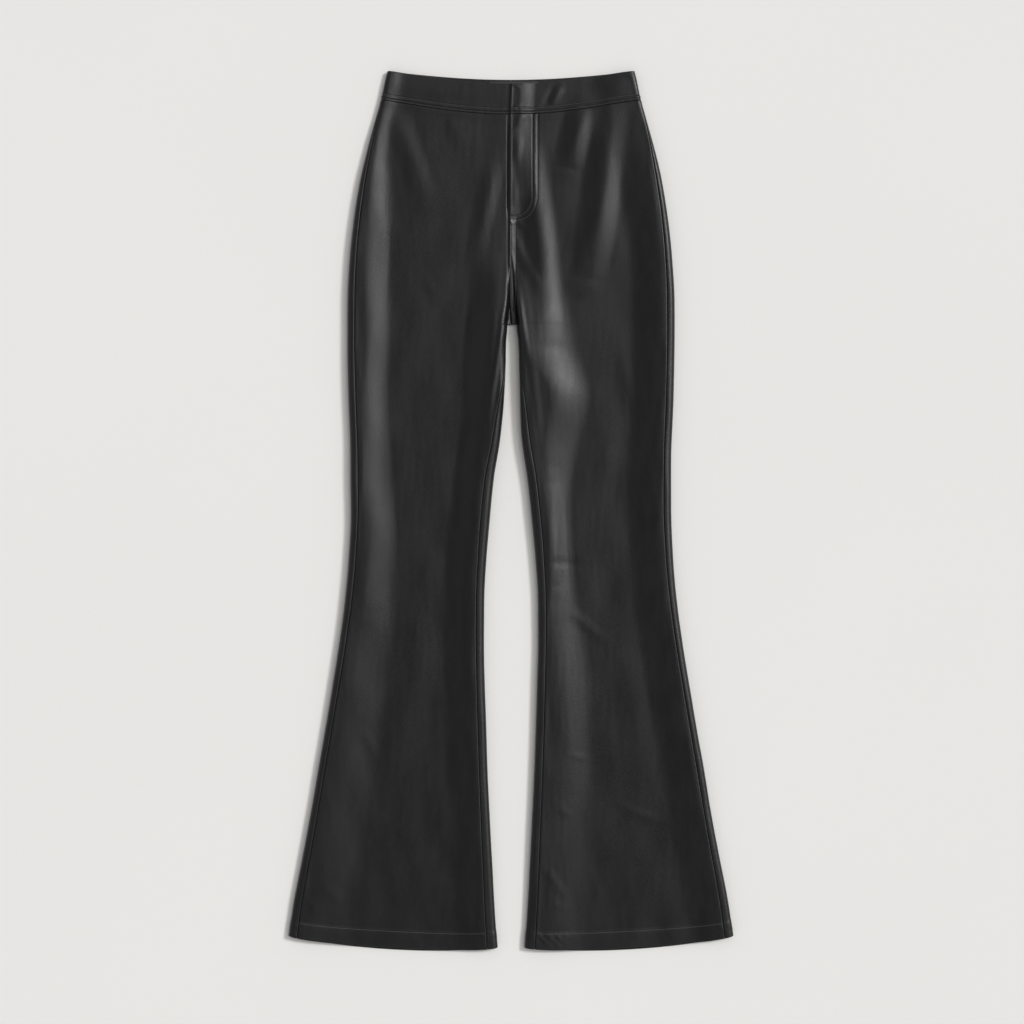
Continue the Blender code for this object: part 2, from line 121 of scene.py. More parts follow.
@dataclass(frozen=True)
class Crease:
    """A fold: a curved crest over three points, its reach to either side and its height."""

    start: tuple[float, float]
    middle: tuple[float, float]
    end: tuple[float, float]
    reach: float
    height: float
    right_reach: float = 0.0
    crest_steps: int = 20
    side_blend: float = 4.0
    end_clear: float = 0.03
    taper_power: float = 0.7

    def heights(self, x: np.ndarray, y: np.ndarray) -> np.ndarray:
        """Heights that the fold adds.

        Args:
            x: places across the garment.
            y: places along it, of the same shape.

        Returns:
            The heights, which are 0 away from the fold.
        """
        start, middle, end = (np.array(point, float) for point in (self.start, self.middle, self.end))
        widest = max(self.reach, self.right_reach)
        low = np.minimum(np.minimum(start, middle), end) - widest
        high = np.maximum(np.maximum(start, middle), end) + widest
        near = (x > low[0]) & (x < high[0]) & (y > low[1]) & (y < high[1])
        total = np.zeros_like(x)
        if not near.any():
            return total
        t = np.linspace(0.0, 1.0, self.crest_steps + 1)[:, None]
        crest = (1 - t) ** 2 * start + 2 * t * (1 - t) * (2 * middle - (start + end) / 2) + t * t * end
        run = np.diff(crest, axis=0)
        across, along = x[near][:, None] - crest[:-1, 0], y[near][:, None] - crest[:-1, 1]
        share = np.clip((across * run[:, 0] + along * run[:, 1]) / (run * run).sum(axis=1), 0.0, 1.0)
        across, along = across - share * run[:, 0], along - share * run[:, 1]
        away = np.hypot(across, along)
        nearest = away.argmin(axis=1)
        picked = np.arange(len(nearest))
        on_right = smooth(across[picked, nearest] / self.side_blend + 0.5)
        reach = self.reach + ((self.right_reach or self.reach) - self.reach) * on_right
        place = (nearest + share[picked, nearest]) / self.crest_steps
        place = np.clip(place, self.end_clear, 1.0 - self.end_clear)
        taper = np.sin(np.pi * place) ** self.taper_power
        total[near] = self.height * taper * (1.0 - smooth(away[picked, nearest] / reach))
        return total


@dataclass
class TrouserForm:
    """The trousers' shape as they lie: the outline, the rolled edges, the sagging middle and the lap."""

    cloth_wall: float = 1.2
    band_wall: float = 2.0
    seam_gap: float = 0.3
    lap_slack: float = 0.2
    zip_wall: float = 1.0
    waist_y: float = 561.9
    band_seam_y: float = 524.6
    crotch_y: float = 238.0
    hem_y: float = -543.0
    front_top_dip: float = 15.8
    back_top_dip: float = 10.5
    front_seam_dip: float = 17.8
    back_seam_dip: float = 10.5
    front_dip_power: float = 1.35
    back_dip_power: float = 1.2
    dip_reach: float = 140.0
    hem_tilt: float = 15.1
    hem_bulge: float = 10.7
    hem_bulge_power: float = 0.8
    hem_reach: float = 110.0
    front_hem_short: float = 3.0
    lap_foot: float = 6.0
    lap_run_in: float = 4.0
    lap_groove_reach: float = 2.0
    zip_foot_y: float = 378.0
    zip_run_in: float = 12.0
    band_underlap: float = 18.0
    side: tuple = (
        ("y", "x", "fold", "seam"),
        (561.9, 157.8, 8.4, 6.6),
        (524.6, 166.1, 8.8, 6.9),
        (500.0, 172.9, 9.4, 4.0),
        (474.7, 180.2, 10.2, 1.8),
        (450.0, 186.4, 10.9, 0.2),
        (423.5, 192.3, 11.5, -0.8),
        (372.3, 200.7, 12.5, -1.6),
        (321.1, 206.2, 13.0, -2.3),
        (269.9, 208.9, 13.0, -3.0),
        (218.7, 209.3, 13.0, -3.2),
        (141.9, 207.6, 13.0, -3.2),
        (65.0, 205.0, 13.0, -3.2),
        (5.0, 204.5, 12.8, -3.1),
        (-62.9, 207.4, 12.5, -3.0),
        (-114.1, 212.0, 12.5, -2.7),
        (-165.3, 218.6, 12.0, -2.5),
        (-216.5, 226.8, 12.0, -2.5),
        (-318.9, 244.5, 11.5, -3.2),
        (-421.3, 262.4, 11.0, -4.0),
        (-498.0, 277.2, 10.0, -5.2),
        (-543.0, 284.2, 9.0, -6.5),
    )
    inner: tuple = (
        ("y", "right", "left", "fold", "width", "seam"),
        (238.0, 4.9, 7.0, 15.9, 14.4, 16.4),
        (231.0, 5.1, 7.4, 16.4, 14.5, 16.3),
        (215.0, 6.4, 9.2, 17.0, 14.8, 15.0),
        (193.1, 6.8, 10.3, 17.2, 15.2, 11.4),
        (168.0, 7.2, 10.9, 16.9, 15.4, 7.0),
        (141.9, 8.4, 11.4, 16.2, 15.2, 1.5),
        (110.0, 11.3, 12.4, 15.2, 14.8, -2.0),
        (90.7, 13.5, 13.9, 14.8, 14.4, -3.0),
        (39.5, 21.9, 21.0, 13.8, 13.6, -4.8),
        (-11.7, 27.2, 26.6, 13.3, 13.2, -5.0),
        (-62.9, 31.2, 31.3, 12.8, 12.8, -4.5),
        (-114.1, 33.9, 34.3, 12.4, 12.4, -4.2),
        (-165.3, 34.4, 34.6, 12.0, 12.0, -4.2),
        (-216.5, 33.3, 33.4, 12.0, 12.0, -4.4),
        (-318.9, 30.2, 30.2, 11.5, 11.5, -5.0),
        (-421.3, 25.6, 25.6, 11.0, 11.0, -6.0),
        (-498.0, 20.7, 20.7, 10.0, 10.0, -7.6),
        (-543.0, 17.2, 17.2, 9.0, 9.0, -8.8),
    )
    centre: tuple = (
        ("y", "middle", "crest", "valley", "steep", "right", "left"),
        (561.9, 5.8, 5.8, 5.8, 3.0, 3.0, 3.0),
        (524.6, 5.8, 5.8, 5.8, 3.0, 3.0, 3.0),
        (450.0, 5.9, 5.9, 5.9, 3.0, 3.0, 3.0),
        (335.0, 5.9, 5.9, 5.9, 3.0, 3.0, 3.0),
        (310.0, 5.8, 7.6, 5.5, 4.5, 5.0, 6.4),
        (290.0, 5.8, 10.3, 4.8, 5.2, 6.6, 8.6),
        (270.0, 5.7, 12.8, 4.1, 5.6, 7.6, 10.4),
        (252.0, 5.7, 14.9, 3.7, 6.6, 10.2, 12.8),
        (238.0, 5.7, 15.9, 3.5, 7.1, 12.1, 14.2),
        (-543.0, 5.2, 15.9, 3.5, 7.1, 12.1, 14.2),
    )
    lap: tuple = (
        ("y", "edge", "rise", "level", "width", "under", "groove"),
        (561.9, 0.0, 3.6, 12.0, 33.0, 8.0, 0.0),
        (524.6, -1.5, 3.6, 12.0, 33.0, 8.0, 1.0),
        (500.0, -1.6, 3.6, 2.0, 33.0, 8.0, 1.8),
        (404.0, -1.8, 3.4, 0.0, 33.0, 8.0, 1.8),
        (385.0, -1.8, 2.9, 0.0, 18.0, 6.0, 1.4),
        (370.0, -1.8, 2.0, 0.0, 9.0, 4.0, 0.6),
        (275.0, -1.7, 1.9, 0.0, 8.0, 3.0, 0.4),
        (258.0, -1.0, 1.6, 0.0, 7.0, 1.6, 0.0),
        (248.0, -0.3, 0.8, 0.0, 7.0, -0.3, 0.0),
        (238.0, 0.15, 0.0, 0.0, 7.0, -0.3, 0.0),
    )
    right_outer: tuple = (
        ("y", "level", "slope"),
        (561.9, 2.0, 16.0),
        (500.0, 2.0, 16.0),
        (450.0, 5.0, 20.0),
        (423.0, 7.5, 26.0),
        (359.0, 11.0, 32.0),
        (295.0, 14.0, 34.0),
        (219.0, 16.0, 34.0),
        (142.0, 11.0, 34.0),
        (60.0, 8.0, 40.0),
        (-240.0, 10.0, 58.0),
        (-543.0, 10.0, 70.0),
    )
    left_inner: tuple = (
        ("y", "level", "slope"),
        (561.9, 16.0, 40.0),
        (300.0, 10.0, 50.0),
        (262.0, 6.0, 60.0),
        (215.0, 4.0, 66.0),
        (142.0, 30.0, 54.0),
        (78.0, 18.0, 46.0),
        (36.0, 10.0, 42.0),
        (-21.0, 6.0, 40.0),
        (-72.0, 6.0, 38.0),
        (-240.0, 12.0, 56.0),
        (-543.0, 14.0, 64.0),
    )
    right_inner: tuple = (("y", "level", "slope"), (561.9, 8.0, 40.0), (-543.0, 8.0, 40.0))
    left_outer: tuple = (("y", "level", "slope"), (561.9, 6.0, 46.0), (-543.0, 6.0, 46.0))
    least_lead: float = 3.0
    outer_calm: float = 20.0
    inner_calm: float = 16.0
    crotch_calm: float = 60.0
    folds: tuple[Crease, ...] = ()
    samples: int = 90

    def __post_init__(self) -> None:
        """Lay the smooth curves through the tables."""
        self.side_x, self.side_fold, self.side_seam = tracks(self.side)
        self.inner_x = {side: Track(self.inner, side.word) for side in Side}
        self.inner_fold, self.inner_width, self.inner_seam = tracks(self.inner, first=3)
        self.middle_z, self.crest_z, self.valley_z, self.steep = tracks(self.centre, last=5)
        self.ridge_x = {side: Track(self.centre, side.word) for side in Side}
        tables = {
            (Side.RIGHT, "outer"): self.right_outer,
            (Side.RIGHT, "inner"): self.right_inner,
            (Side.LEFT, "outer"): self.left_outer,
            (Side.LEFT, "inner"): self.left_inner,
        }
        self.slope_tracks = {place: tracks(table) for place, table in tables.items()}
        self.lap_edge, self.lap_rise, self.lap_level = tracks(self.lap, last=4)
        self.lap_width, self.lap_under, self.lap_groove = tracks(self.lap, first=4)

    def in_band(self, y: float) -> bool:
        """Whether a place along the garment is in the waistband."""
        return y > self.band_seam_y

    def wall(self, y: float) -> float:
        """The cloth's wall at a place along the garment."""
        return self.band_wall if self.in_band(y) else self.cloth_wall

    def slope_down(self, distance: np.ndarray, y: float, side: Side, edge: str) -> np.ndarray:
        """Share of a rolled edge's height that is left at a distance in from its crest."""
        level, slope = (track(y) for track in self.slope_tracks[side, edge])
        return 1.0 - smooth((distance - level) / slope)

    def upper_face(self, x: np.ndarray, y: float, side: Side) -> np.ndarray:
        """Heights of the cloth's upper face, without the fly's lap.

        Args:
            x: distances from the centre line.
            y: the place along the garment.
            side: the wearer's side.

        Returns:
            The heights above the surface that the trousers lie on.
        """
        outer_fold, middle = self.side_fold(y), self.middle_z(y)
        from_crest = self.side_x(y) - outer_fold / 2 - x
        height = middle + (outer_fold - middle) * self.slope_down(from_crest, y, side, "outer")
        inside = smooth(from_crest / self.outer_calm)
        if y < self.crotch_y:
            fold = self.inner_fold(y)
            from_inner = x - self.inner_x[side](y) - self.inner_width(y) / 2
            height = height + (fold - middle) * self.slope_down(from_inner, y, side, "inner")
            inside = inside * smooth(from_inner / self.inner_calm)
        else:
            from_ridge = x - self.ridge_x[side](y)
            ridge = (self.crest_z(y) - middle) * self.slope_down(from_ridge, y, side, "inner")
            steep = np.clip(-from_ridge / self.steep(y), 0.0, 1.0)
            fall = (self.crest_z(y) - self.valley_z(y)) * (1.0 - np.sqrt(1.0 - steep * steep))
            height = height + ridge - fall
            fading = float(smooth((self.crotch_y + self.crotch_calm - y) / self.crotch_calm))
            inside = inside * (1.0 - fading * (1.0 - smooth(from_ridge / self.inner_calm)))
        at = side.value * x
        along = y - self.drop(x, y, True)
        return height + inside * sum(fold.heights(at, along) for fold in self.folds)

    def lap_height(self, x: np.ndarray, y: float) -> np.ndarray:
        """How far the left front stands above the general face at distances x from its own edge."""
        level = self.lap_level(y)
        return self.lap_rise(y) * (1.0 - smooth((x - level) / (self.lap_width(y) - level)))

    def lap_drop(self, y: float) -> float:
        """Depth from the left front's upper face to the right front's, where one lies on the other."""
        at_zip = float(smooth((y - self.zip_foot_y) / self.zip_run_in))
        above_crotch = float(smooth((y - self.crotch_y) / self.lap_foot))
        layers = self.cloth_wall + self.seam_gap + self.lap_slack
        return above_crotch * (layers + (self.zip_wall + self.seam_gap) * at_zip)

    def front_height(self, x: np.ndarray, y: float, side: Side) -> np.ndarray:
        """Heights of a front near the centre, at the garment's own x."""
        height = self.upper_face(np.abs(x), y, side)
        past_edge = x - self.lap_edge(y)
        if side is Side.LEFT:
            return height + self.lap_height(np.maximum(past_edge, 0.0), y)
        if self.in_band(y):
            return height
        joins = smooth((past_edge + self.lap_run_in) / self.lap_run_in)
        groove = self.lap_groove(y) * bell(past_edge + self.lap_groove_reach, self.lap_groove_reach)
        return height + joins * (self.lap_height(np.maximum(past_edge, 0.0), y) - self.lap_drop(y)) - groove

    def lead(self, path: np.ndarray, y: float, side: Side) -> float:
        """Length of a front's section from its start to the inner thigh's crest, or the least used."""
        if y >= self.crotch_y:
            to_crest = np.interp(self.ridge_x[side](y), path[:, 0], lengths_along(path))
        else:
            crest_x = self.inner_x[side](y) + self.inner_width(y) / 2
            before_crest = path[: self.samples, 0] <= crest_x + 1e-6
            to_crest = lengths_along(path)[: self.samples][before_crest].max(initial=0.0)
        return max(float(to_crest), self.least_lead)

    def roll(self, crest_x: float, fold: float, width: float, start: float, end: float) -> np.ndarray:
        """Points round a rolled edge, between two angles from its crest, as x and z.

        Args:
            crest_x: the crest's place.
            fold: the roll's height.
            width: its width, below 0 where it turns towards the centre.
            start: the first point's angle from the crest.
            end: the last point's angle.

        Returns:
            The points.
        """
        angles = np.linspace(start, end, self.samples)
        return np.column_stack((crest_x + width / 2 * np.sin(angles), fold / 2 * (1 + np.cos(angles))))

    def angle_along(self, distance: float, fold: float, width: float) -> float:
        """The angle from a roll's crest to a place at a distance along the cloth."""
        return 4 * distance / (fold + width)

    def half_gap(self, fold: float, y: float) -> float:
        """Half of a seam's gap along the outer face of a roll."""
        return self.seam_gap / 2 * fold / (fold - self.wall(y))

    def front_path(self, y: float, side: Side) -> np.ndarray:
        """A front's upper face along one section, from the centre or inseam to the side seam, as x and z."""
        fold = self.side_fold(y)
        outer_crest = self.side_x(y) - fold / 2
        to_seam = self.side_seam(y) - self.half_gap(fold, y)
        parts = []
        above = y >= self.crotch_y
        if above:
            reach = self.band_underlap if self.in_band(y) else self.lap_under(y)
            start = self.lap_edge(y) if side is Side.LEFT else -self.lap_edge(y) - reach
        else:
            leg_fold, leg_width = self.inner_fold(y), self.inner_width(y)
            start = self.inner_x[side](y) + leg_width / 2
            to_inseam = self.inner_seam(y) - self.half_gap(leg_fold, y)
            if to_inseam > 0:
                turned = self.angle_along(to_inseam, leg_fold, leg_width)
                parts.append(self.roll(start, leg_fold, -leg_width, turned, 0.0))
            start -= min(to_inseam, 0.0)
        x = np.linspace(start, outer_crest + min(to_seam, 0.0), 5 * self.samples)
        z = self.front_height(side.value * x, y, side) if above else self.upper_face(x, y, side)
        parts.append(np.column_stack((x, z)))
        if to_seam > 0:
            parts.append(self.roll(outer_crest, fold, fold, 0.0, self.angle_along(to_seam, fold, fold)))
        return chain(parts)

    def back_paths(self, y: float, side: Side) -> tuple[np.ndarray, np.ndarray, np.ndarray]:
        """The back's outer face along one section: over the outer edge, below, and up the inner edge."""
        fold = self.side_fold(y)
        outer_crest = self.side_x(y) - fold / 2
        to_seam = self.side_seam(y) + self.half_gap(fold, y)
        outer = self.roll(outer_crest, fold, fold, self.angle_along(max(to_seam, 0.0), fold, fold), np.pi)
        if to_seam < 0:
            x = np.linspace(outer_crest + to_seam, outer_crest, self.samples)
            outer = chain((np.column_stack((x, self.upper_face(x, y, side))), outer))
        if y >= self.crotch_y:
            turn = self.ridge_x[side](self.crotch_y)
            x = np.linspace(turn, self.seam_gap / 2, self.samples)
            inner = np.column_stack((x, np.zeros_like(x)))
        else:
            leg_fold, leg_width = self.inner_fold(y), self.inner_width(y)
            turn = self.inner_x[side](y) + leg_width / 2
            to_inseam = self.inner_seam(y) + self.half_gap(leg_fold, y)
            turned = self.angle_along(max(to_inseam, 0.0), leg_fold, leg_width)
            inner = self.roll(turn, leg_fold, -leg_width, np.pi, turned)
            if to_inseam < 0:
                x = np.linspace(turn, turn - to_inseam, self.samples)
                inner = chain((inner, np.column_stack((x, self.upper_face(x, y, side)))))
        return outer, np.array(((outer_crest, 0.0), (turn, 0.0))), inner

    def dip(self, x: np.ndarray, y: float, depth: float, is_front: bool) -> np.ndarray:
        """How far an edge of the waist lies below its side corner, at distances x from the centre."""
        across = np.clip(np.abs(x) / self.side_x(y), 0.0, 1.0)
        return depth * (1.0 - across * across) ** (self.front_dip_power if is_front else self.back_dip_power)

    def hem_drop(self, x: np.ndarray, y: float, is_front: bool) -> np.ndarray:
        """How far the hem lies below its outer corner, alike on both legs."""
        across = np.clip((self.side_x(y) - x) / (self.side_x(y) - self.inner_x[Side.LEFT](y)), 0.0, 1.0)
        bulge = self.hem_bulge * (4 * across * (1 - across)) ** self.hem_bulge_power
        short = self.front_hem_short * np.sin(np.pi * across) ** 2 if is_front else 0.0
        return self.hem_tilt * across + bulge - short

    def panel_drop(self, x: np.ndarray, y: float, is_front: bool) -> np.ndarray:
        """How far a panel's points lie below their row, to meet the band's seam and the hem."""
        at_band = float(smooth((y - self.band_seam_y + self.dip_reach) / self.dip_reach))
        down = at_band * self.dip(x, y, self.front_seam_dip if is_front else self.back_seam_dip, is_front)
        at_hem = float(smooth((self.hem_y + self.hem_reach - y) / self.hem_reach))
        return down + at_hem * self.hem_drop(x, y, is_front) if at_hem > 0 else down

    def drop(self, x: np.ndarray, y: float, is_front: bool) -> np.ndarray:
        """How far any of the cloth's points lie below their row."""
        return self.band_drop(x, y, is_front) if self.in_band(y) else self.panel_drop(x, y, is_front)

    def band_drop(self, x: np.ndarray, y: float, is_front: bool) -> np.ndarray:
        """How far a waistband piece's points lie below their row."""
        up = (y - self.band_seam_y) / (self.waist_y - self.band_seam_y)
        at_seam = self.front_seam_dip if is_front else self.back_seam_dip
        at_top = self.front_top_dip if is_front else self.back_top_dip
        return self.dip(x, y, at_seam + up * (at_top - at_seam), is_front)


def chain(parts: Sequence[np.ndarray]) -> np.ndarray:
    """Stretches of a path joined end to end, without the points that repeat."""
    path = np.vstack(parts)
    moves = np.hypot(*np.diff(path, axis=0).T) > 1e-6
    return path[np.concatenate(((True,), moves))]


def lengths_along(path: np.ndarray) -> np.ndarray:
    """The distance of each point of a path from its start."""
    return np.concatenate(([0.0], np.cumsum(np.hypot(*np.diff(path, axis=0).T))))


def points_at(path: np.ndarray, distances: np.ndarray) -> np.ndarray:
    """Points at the given distances along a path."""
    lengths = lengths_along(path)
    return np.column_stack([np.interp(distances, lengths, path[:, axis]) for axis in (0, 1)])


def read_off(path: np.ndarray, distances: np.ndarray) -> tuple[np.ndarray, np.ndarray]:
    """Points at the given distances along a path, and the directions square to it there."""
    lengths = lengths_along(path)
    run, rise = (np.interp(distances, lengths, np.gradient(path[:, axis], lengths)) for axis in (0, 1))
    size = np.hypot(run, rise)
    return points_at(path, distances), np.column_stack((-rise / size, run / size))


@dataclass(frozen=True)
class Ripple:
    """Uneven low waves over the cloth: a seeded sum, each with its own direction and length."""

    height: float
    across: float
    along: float
    seed: int
    waves: int = 11

    def heights(self, x: np.ndarray, y: np.ndarray) -> np.ndarray:
        """Heights of the waves at places x and y."""
        dice = np.random.default_rng(self.seed)
        total = np.zeros_like(x)
        for _ in range(self.waves):
            turns_x = dice.uniform(0.5, 1.5) / self.across
            turns_y = dice.uniform(-1.5, 1.5) / self.along
            total += np.sin(2 * np.pi * (turns_x * x + turns_y * y + dice.random()))
        return self.height * total / math.sqrt(self.waves)


@dataclass
class Grid:
    """The outer face of one cut piece, as rows of points across it, in the garment's frame."""

    side: Side
    is_front: bool
    wall: float
    station: np.ndarray
    points: np.ndarray
    outwards: np.ndarray
    from_start: np.ndarray
    from_end: np.ndarray
    lift: np.ndarray
    fold: np.ndarray
    top_tilt: float = 0.4
    below_tilt: float = 0.85
    below_blend: float = 0.12

    @property
    def x(self) -> np.ndarray:
        """Places across the garment, + to the wearer's left."""
        return self.points[..., 0]

    @property
    def y(self) -> np.ndarray:
        """Places along the garment, + to the waist."""
        return self.points[..., 1]

    @property
    def on_top(self) -> np.ndarray:
        """Where the face looks up, from 0 to 1."""
        return smooth(self.outwards[..., 2] / self.top_tilt)

    @property
    def below(self) -> np.ndarray:
        """Where the face looks down at the surface it lies on, from 0 to 1."""
        return smooth((-self.outwards[..., 2] - self.below_tilt) / self.below_blend)


@dataclass
class Pattern:
    """Where the rows and columns of the fine cloth lie."""

    panel_rows: tuple = (
        ("from", "to", "step"),
        (524.45, 522.6, 0.45),
        (522.6, 405.0, 2.4),
        (405.0, 360.0, 1.5),
        (360.0, 262.0, 2.4),
        (262.0, 238.0, 1.3),
        (237.9, 228.0, 1.3),
        (228.0, 120.0, 2.4),
        (120.0, -512.0, 3.0),
        (-512.0, -541.2, 1.5),
        (-541.2, -543.0, 0.45),
    )
    band_rows: tuple = (
        ("from", "to", "step"),
        (561.9, 560.1, 0.3),
        (560.1, 534.0, 1.7),
        (534.0, 526.4, 1.0),
        (526.4, 524.75, 0.3),
    )
    front_lead: int = 12
    front_lead_power: float = 1.25
    front_steps: int = 34
    front_step: float = 1.0
    front_middle: int = 38
    front_end: tuple = (
        *(40.0, 34.0, 29.0, 24.5, 20.5, 17.0, 14.0, 11.0),
        *(8.5, 6.5, 4.8, 3.5, 2.4, 1.5, 0.9, 0.4, 0.0),
    )
    back_end: tuple = (0.0, 0.4, 0.9, 1.5, 2.4, 3.5, 5.0)
    back_roll: int = 9
    back_bottom: int = 27
    band_middle: int = 26

    @staticmethod
    def rows(table: Sequence[Sequence]) -> list[float]:
        """Places of the rows of a table of stretches, from the waist down."""
        places: list[float] = []
        for start, end, step in table[1:]:
            count = max(1, round((start - end) / step))
            places += [y for y in np.linspace(start, end, count + 1) if not places or y < places[-1] - 0.01]
        return places

    def front_columns(self, length: float, lead: float, is_band: bool) -> np.ndarray:
        """Distances along a front's section where its columns lie.

        Args:
            length: the section's length.
            lead: the length from its start to the crest that the columns keep to.
            is_band: whether it is a piece of the waistband.

        Returns:
            The distances from the centre or the inseam.
        """
        up_to_crest = lead * (np.arange(self.front_lead) / self.front_lead) ** self.front_lead_power
        start = np.concatenate((up_to_crest, lead + self.front_step * np.arange(self.front_steps)))
        middle = self.band_middle if is_band else self.front_middle
        between = np.linspace(start[-1], length - self.front_end[0], middle + 2)[1:-1]
        return np.concatenate((start, between, length - np.array(self.front_end)))

    def back_columns(self, outer: float, below: float, inner: float) -> list[np.ndarray]:
        """Distances along a back's three stretches where its columns lie."""
        end = np.array(self.back_end)
        over = np.linspace(end[-1], outer, self.back_roll)[1:]
        up = np.linspace(0.0, inner - end[-1], self.back_roll)[:-1]
        return [
            np.concatenate((end, over)),
            np.linspace(0.0, below, self.back_bottom)[1:-1],
            np.concatenate((up, inner - end[::-1])),
        ]


class Cutter:
    """Lays the outer faces of the cut pieces on the form."""

    def __init__(self, form: TrouserForm, pattern: Pattern) -> None:
        """Take the form and the pattern of rows and columns."""
        self.form = form
        self.pattern = pattern

    def section(self, y: float, side: Side, is_front: bool) -> tuple[np.ndarray, np.ndarray, np.ndarray]:
        """One section's columns: their points, the directions square to them and their distances."""
        if is_front:
            path = self.form.front_path(y, side)
            lead = self.form.lead(path, y, side)
            distances = self.pattern.front_columns(lengths_along(path)[-1], lead, self.form.in_band(y))
            return *read_off(path, distances), distances
        paths = self.form.back_paths(y, side)
        lengths = [lengths_along(path)[-1] for path in paths]
        steps = self.pattern.back_columns(*lengths)
        points, squares = zip(*(read_off(path, step) for path, step in zip(paths, steps)))
        starts = np.cumsum([0.0, *lengths[:-1]])
        distances = np.concatenate([start + step for start, step in zip(starts, steps)])
        return np.vstack(points), np.vstack(squares), distances

    def grid(self, side: Side, is_front: bool, is_band: bool) -> Grid:
        """The outer face of one piece.

        Args:
            side: the wearer's side.
            is_front: whether it is a front and not a back.
            is_band: whether it is a piece of the waistband.

        Returns:
            The grid, with no lift added yet.
        """
        stations = self.pattern.rows(self.pattern.band_rows if is_band else self.pattern.panel_rows)
        points, outwards, from_start = [], [], []
        for y in stations:
            at, square, distances = self.section(y, side, is_front)
            along = y - self.form.drop(at[:, 0], y, is_front)
            points.append(np.column_stack((side.value * at[:, 0], along, at[:, 1])))
            outwards.append(np.column_stack((side.value * square[:, 0], np.zeros_like(along), square[:, 1])))
            from_start.append(distances)
        start = np.array(from_start)
        station = np.repeat(np.array(stations)[:, None], start.shape[1], axis=1)
        wall = self.form.band_wall if is_band else self.form.cloth_wall
        lift = np.zeros_like(start)
        end = start[:, -1:] - start
        shape = np.array(points), np.array(outwards)
        return Grid(side, is_front, wall, station, *shape, start, end, lift, np.zeros_like(start))


def turned_edge(distance: np.ndarray, radius: float) -> np.ndarray:
    """How far a rounded edge has come down at a distance in from it, as a share of its radius."""
    left = 1.0 - np.clip(distance / radius, 0.0, 1.0)
    return 1.0 - np.sqrt(1.0 - left * left)


@dataclass
class StitchRow:
    """A sewn row: its points in plan, and whether it is on the side that faces up."""

    points: list[tuple[float, float]]
    faces_up: bool = True
    pitch: float = 3.1
    length: float = 2.35
    width: float = 0.8
    half_sight: float = 0.2

    def distance(self, x: np.ndarray, y: np.ndarray) -> np.ndarray:
        """Distances of places from the row, in plan."""
        nearest = np.full(x.shape, np.inf)
        for (x0, y0), (x1, y1) in zip(self.points, self.points[1:]):
            run, rise = x1 - x0, y1 - y0
            share = np.clip(((x - x0) * run + (y - y0) * rise) / (run * run + rise * rise), 0.0, 1.0)
            nearest = np.minimum(nearest, np.hypot(x - x0 - share * run, y - y0 - share * rise))
        return nearest

    def stations(self) -> tuple[np.ndarray, np.ndarray]:
        """The middles of the stitches and the directions they run in."""
        points = np.array(self.points)
        length = lengths_along(points)[-1]
        count = max(1, int(length / self.pitch))
        places = (np.arange(count) + 0.5) * length / count
        runs = points_at(points, places + self.half_sight) - points_at(points, places - self.half_sight)
        return points_at(points, places), runs / np.linalg.norm(runs, axis=1)[:, None]


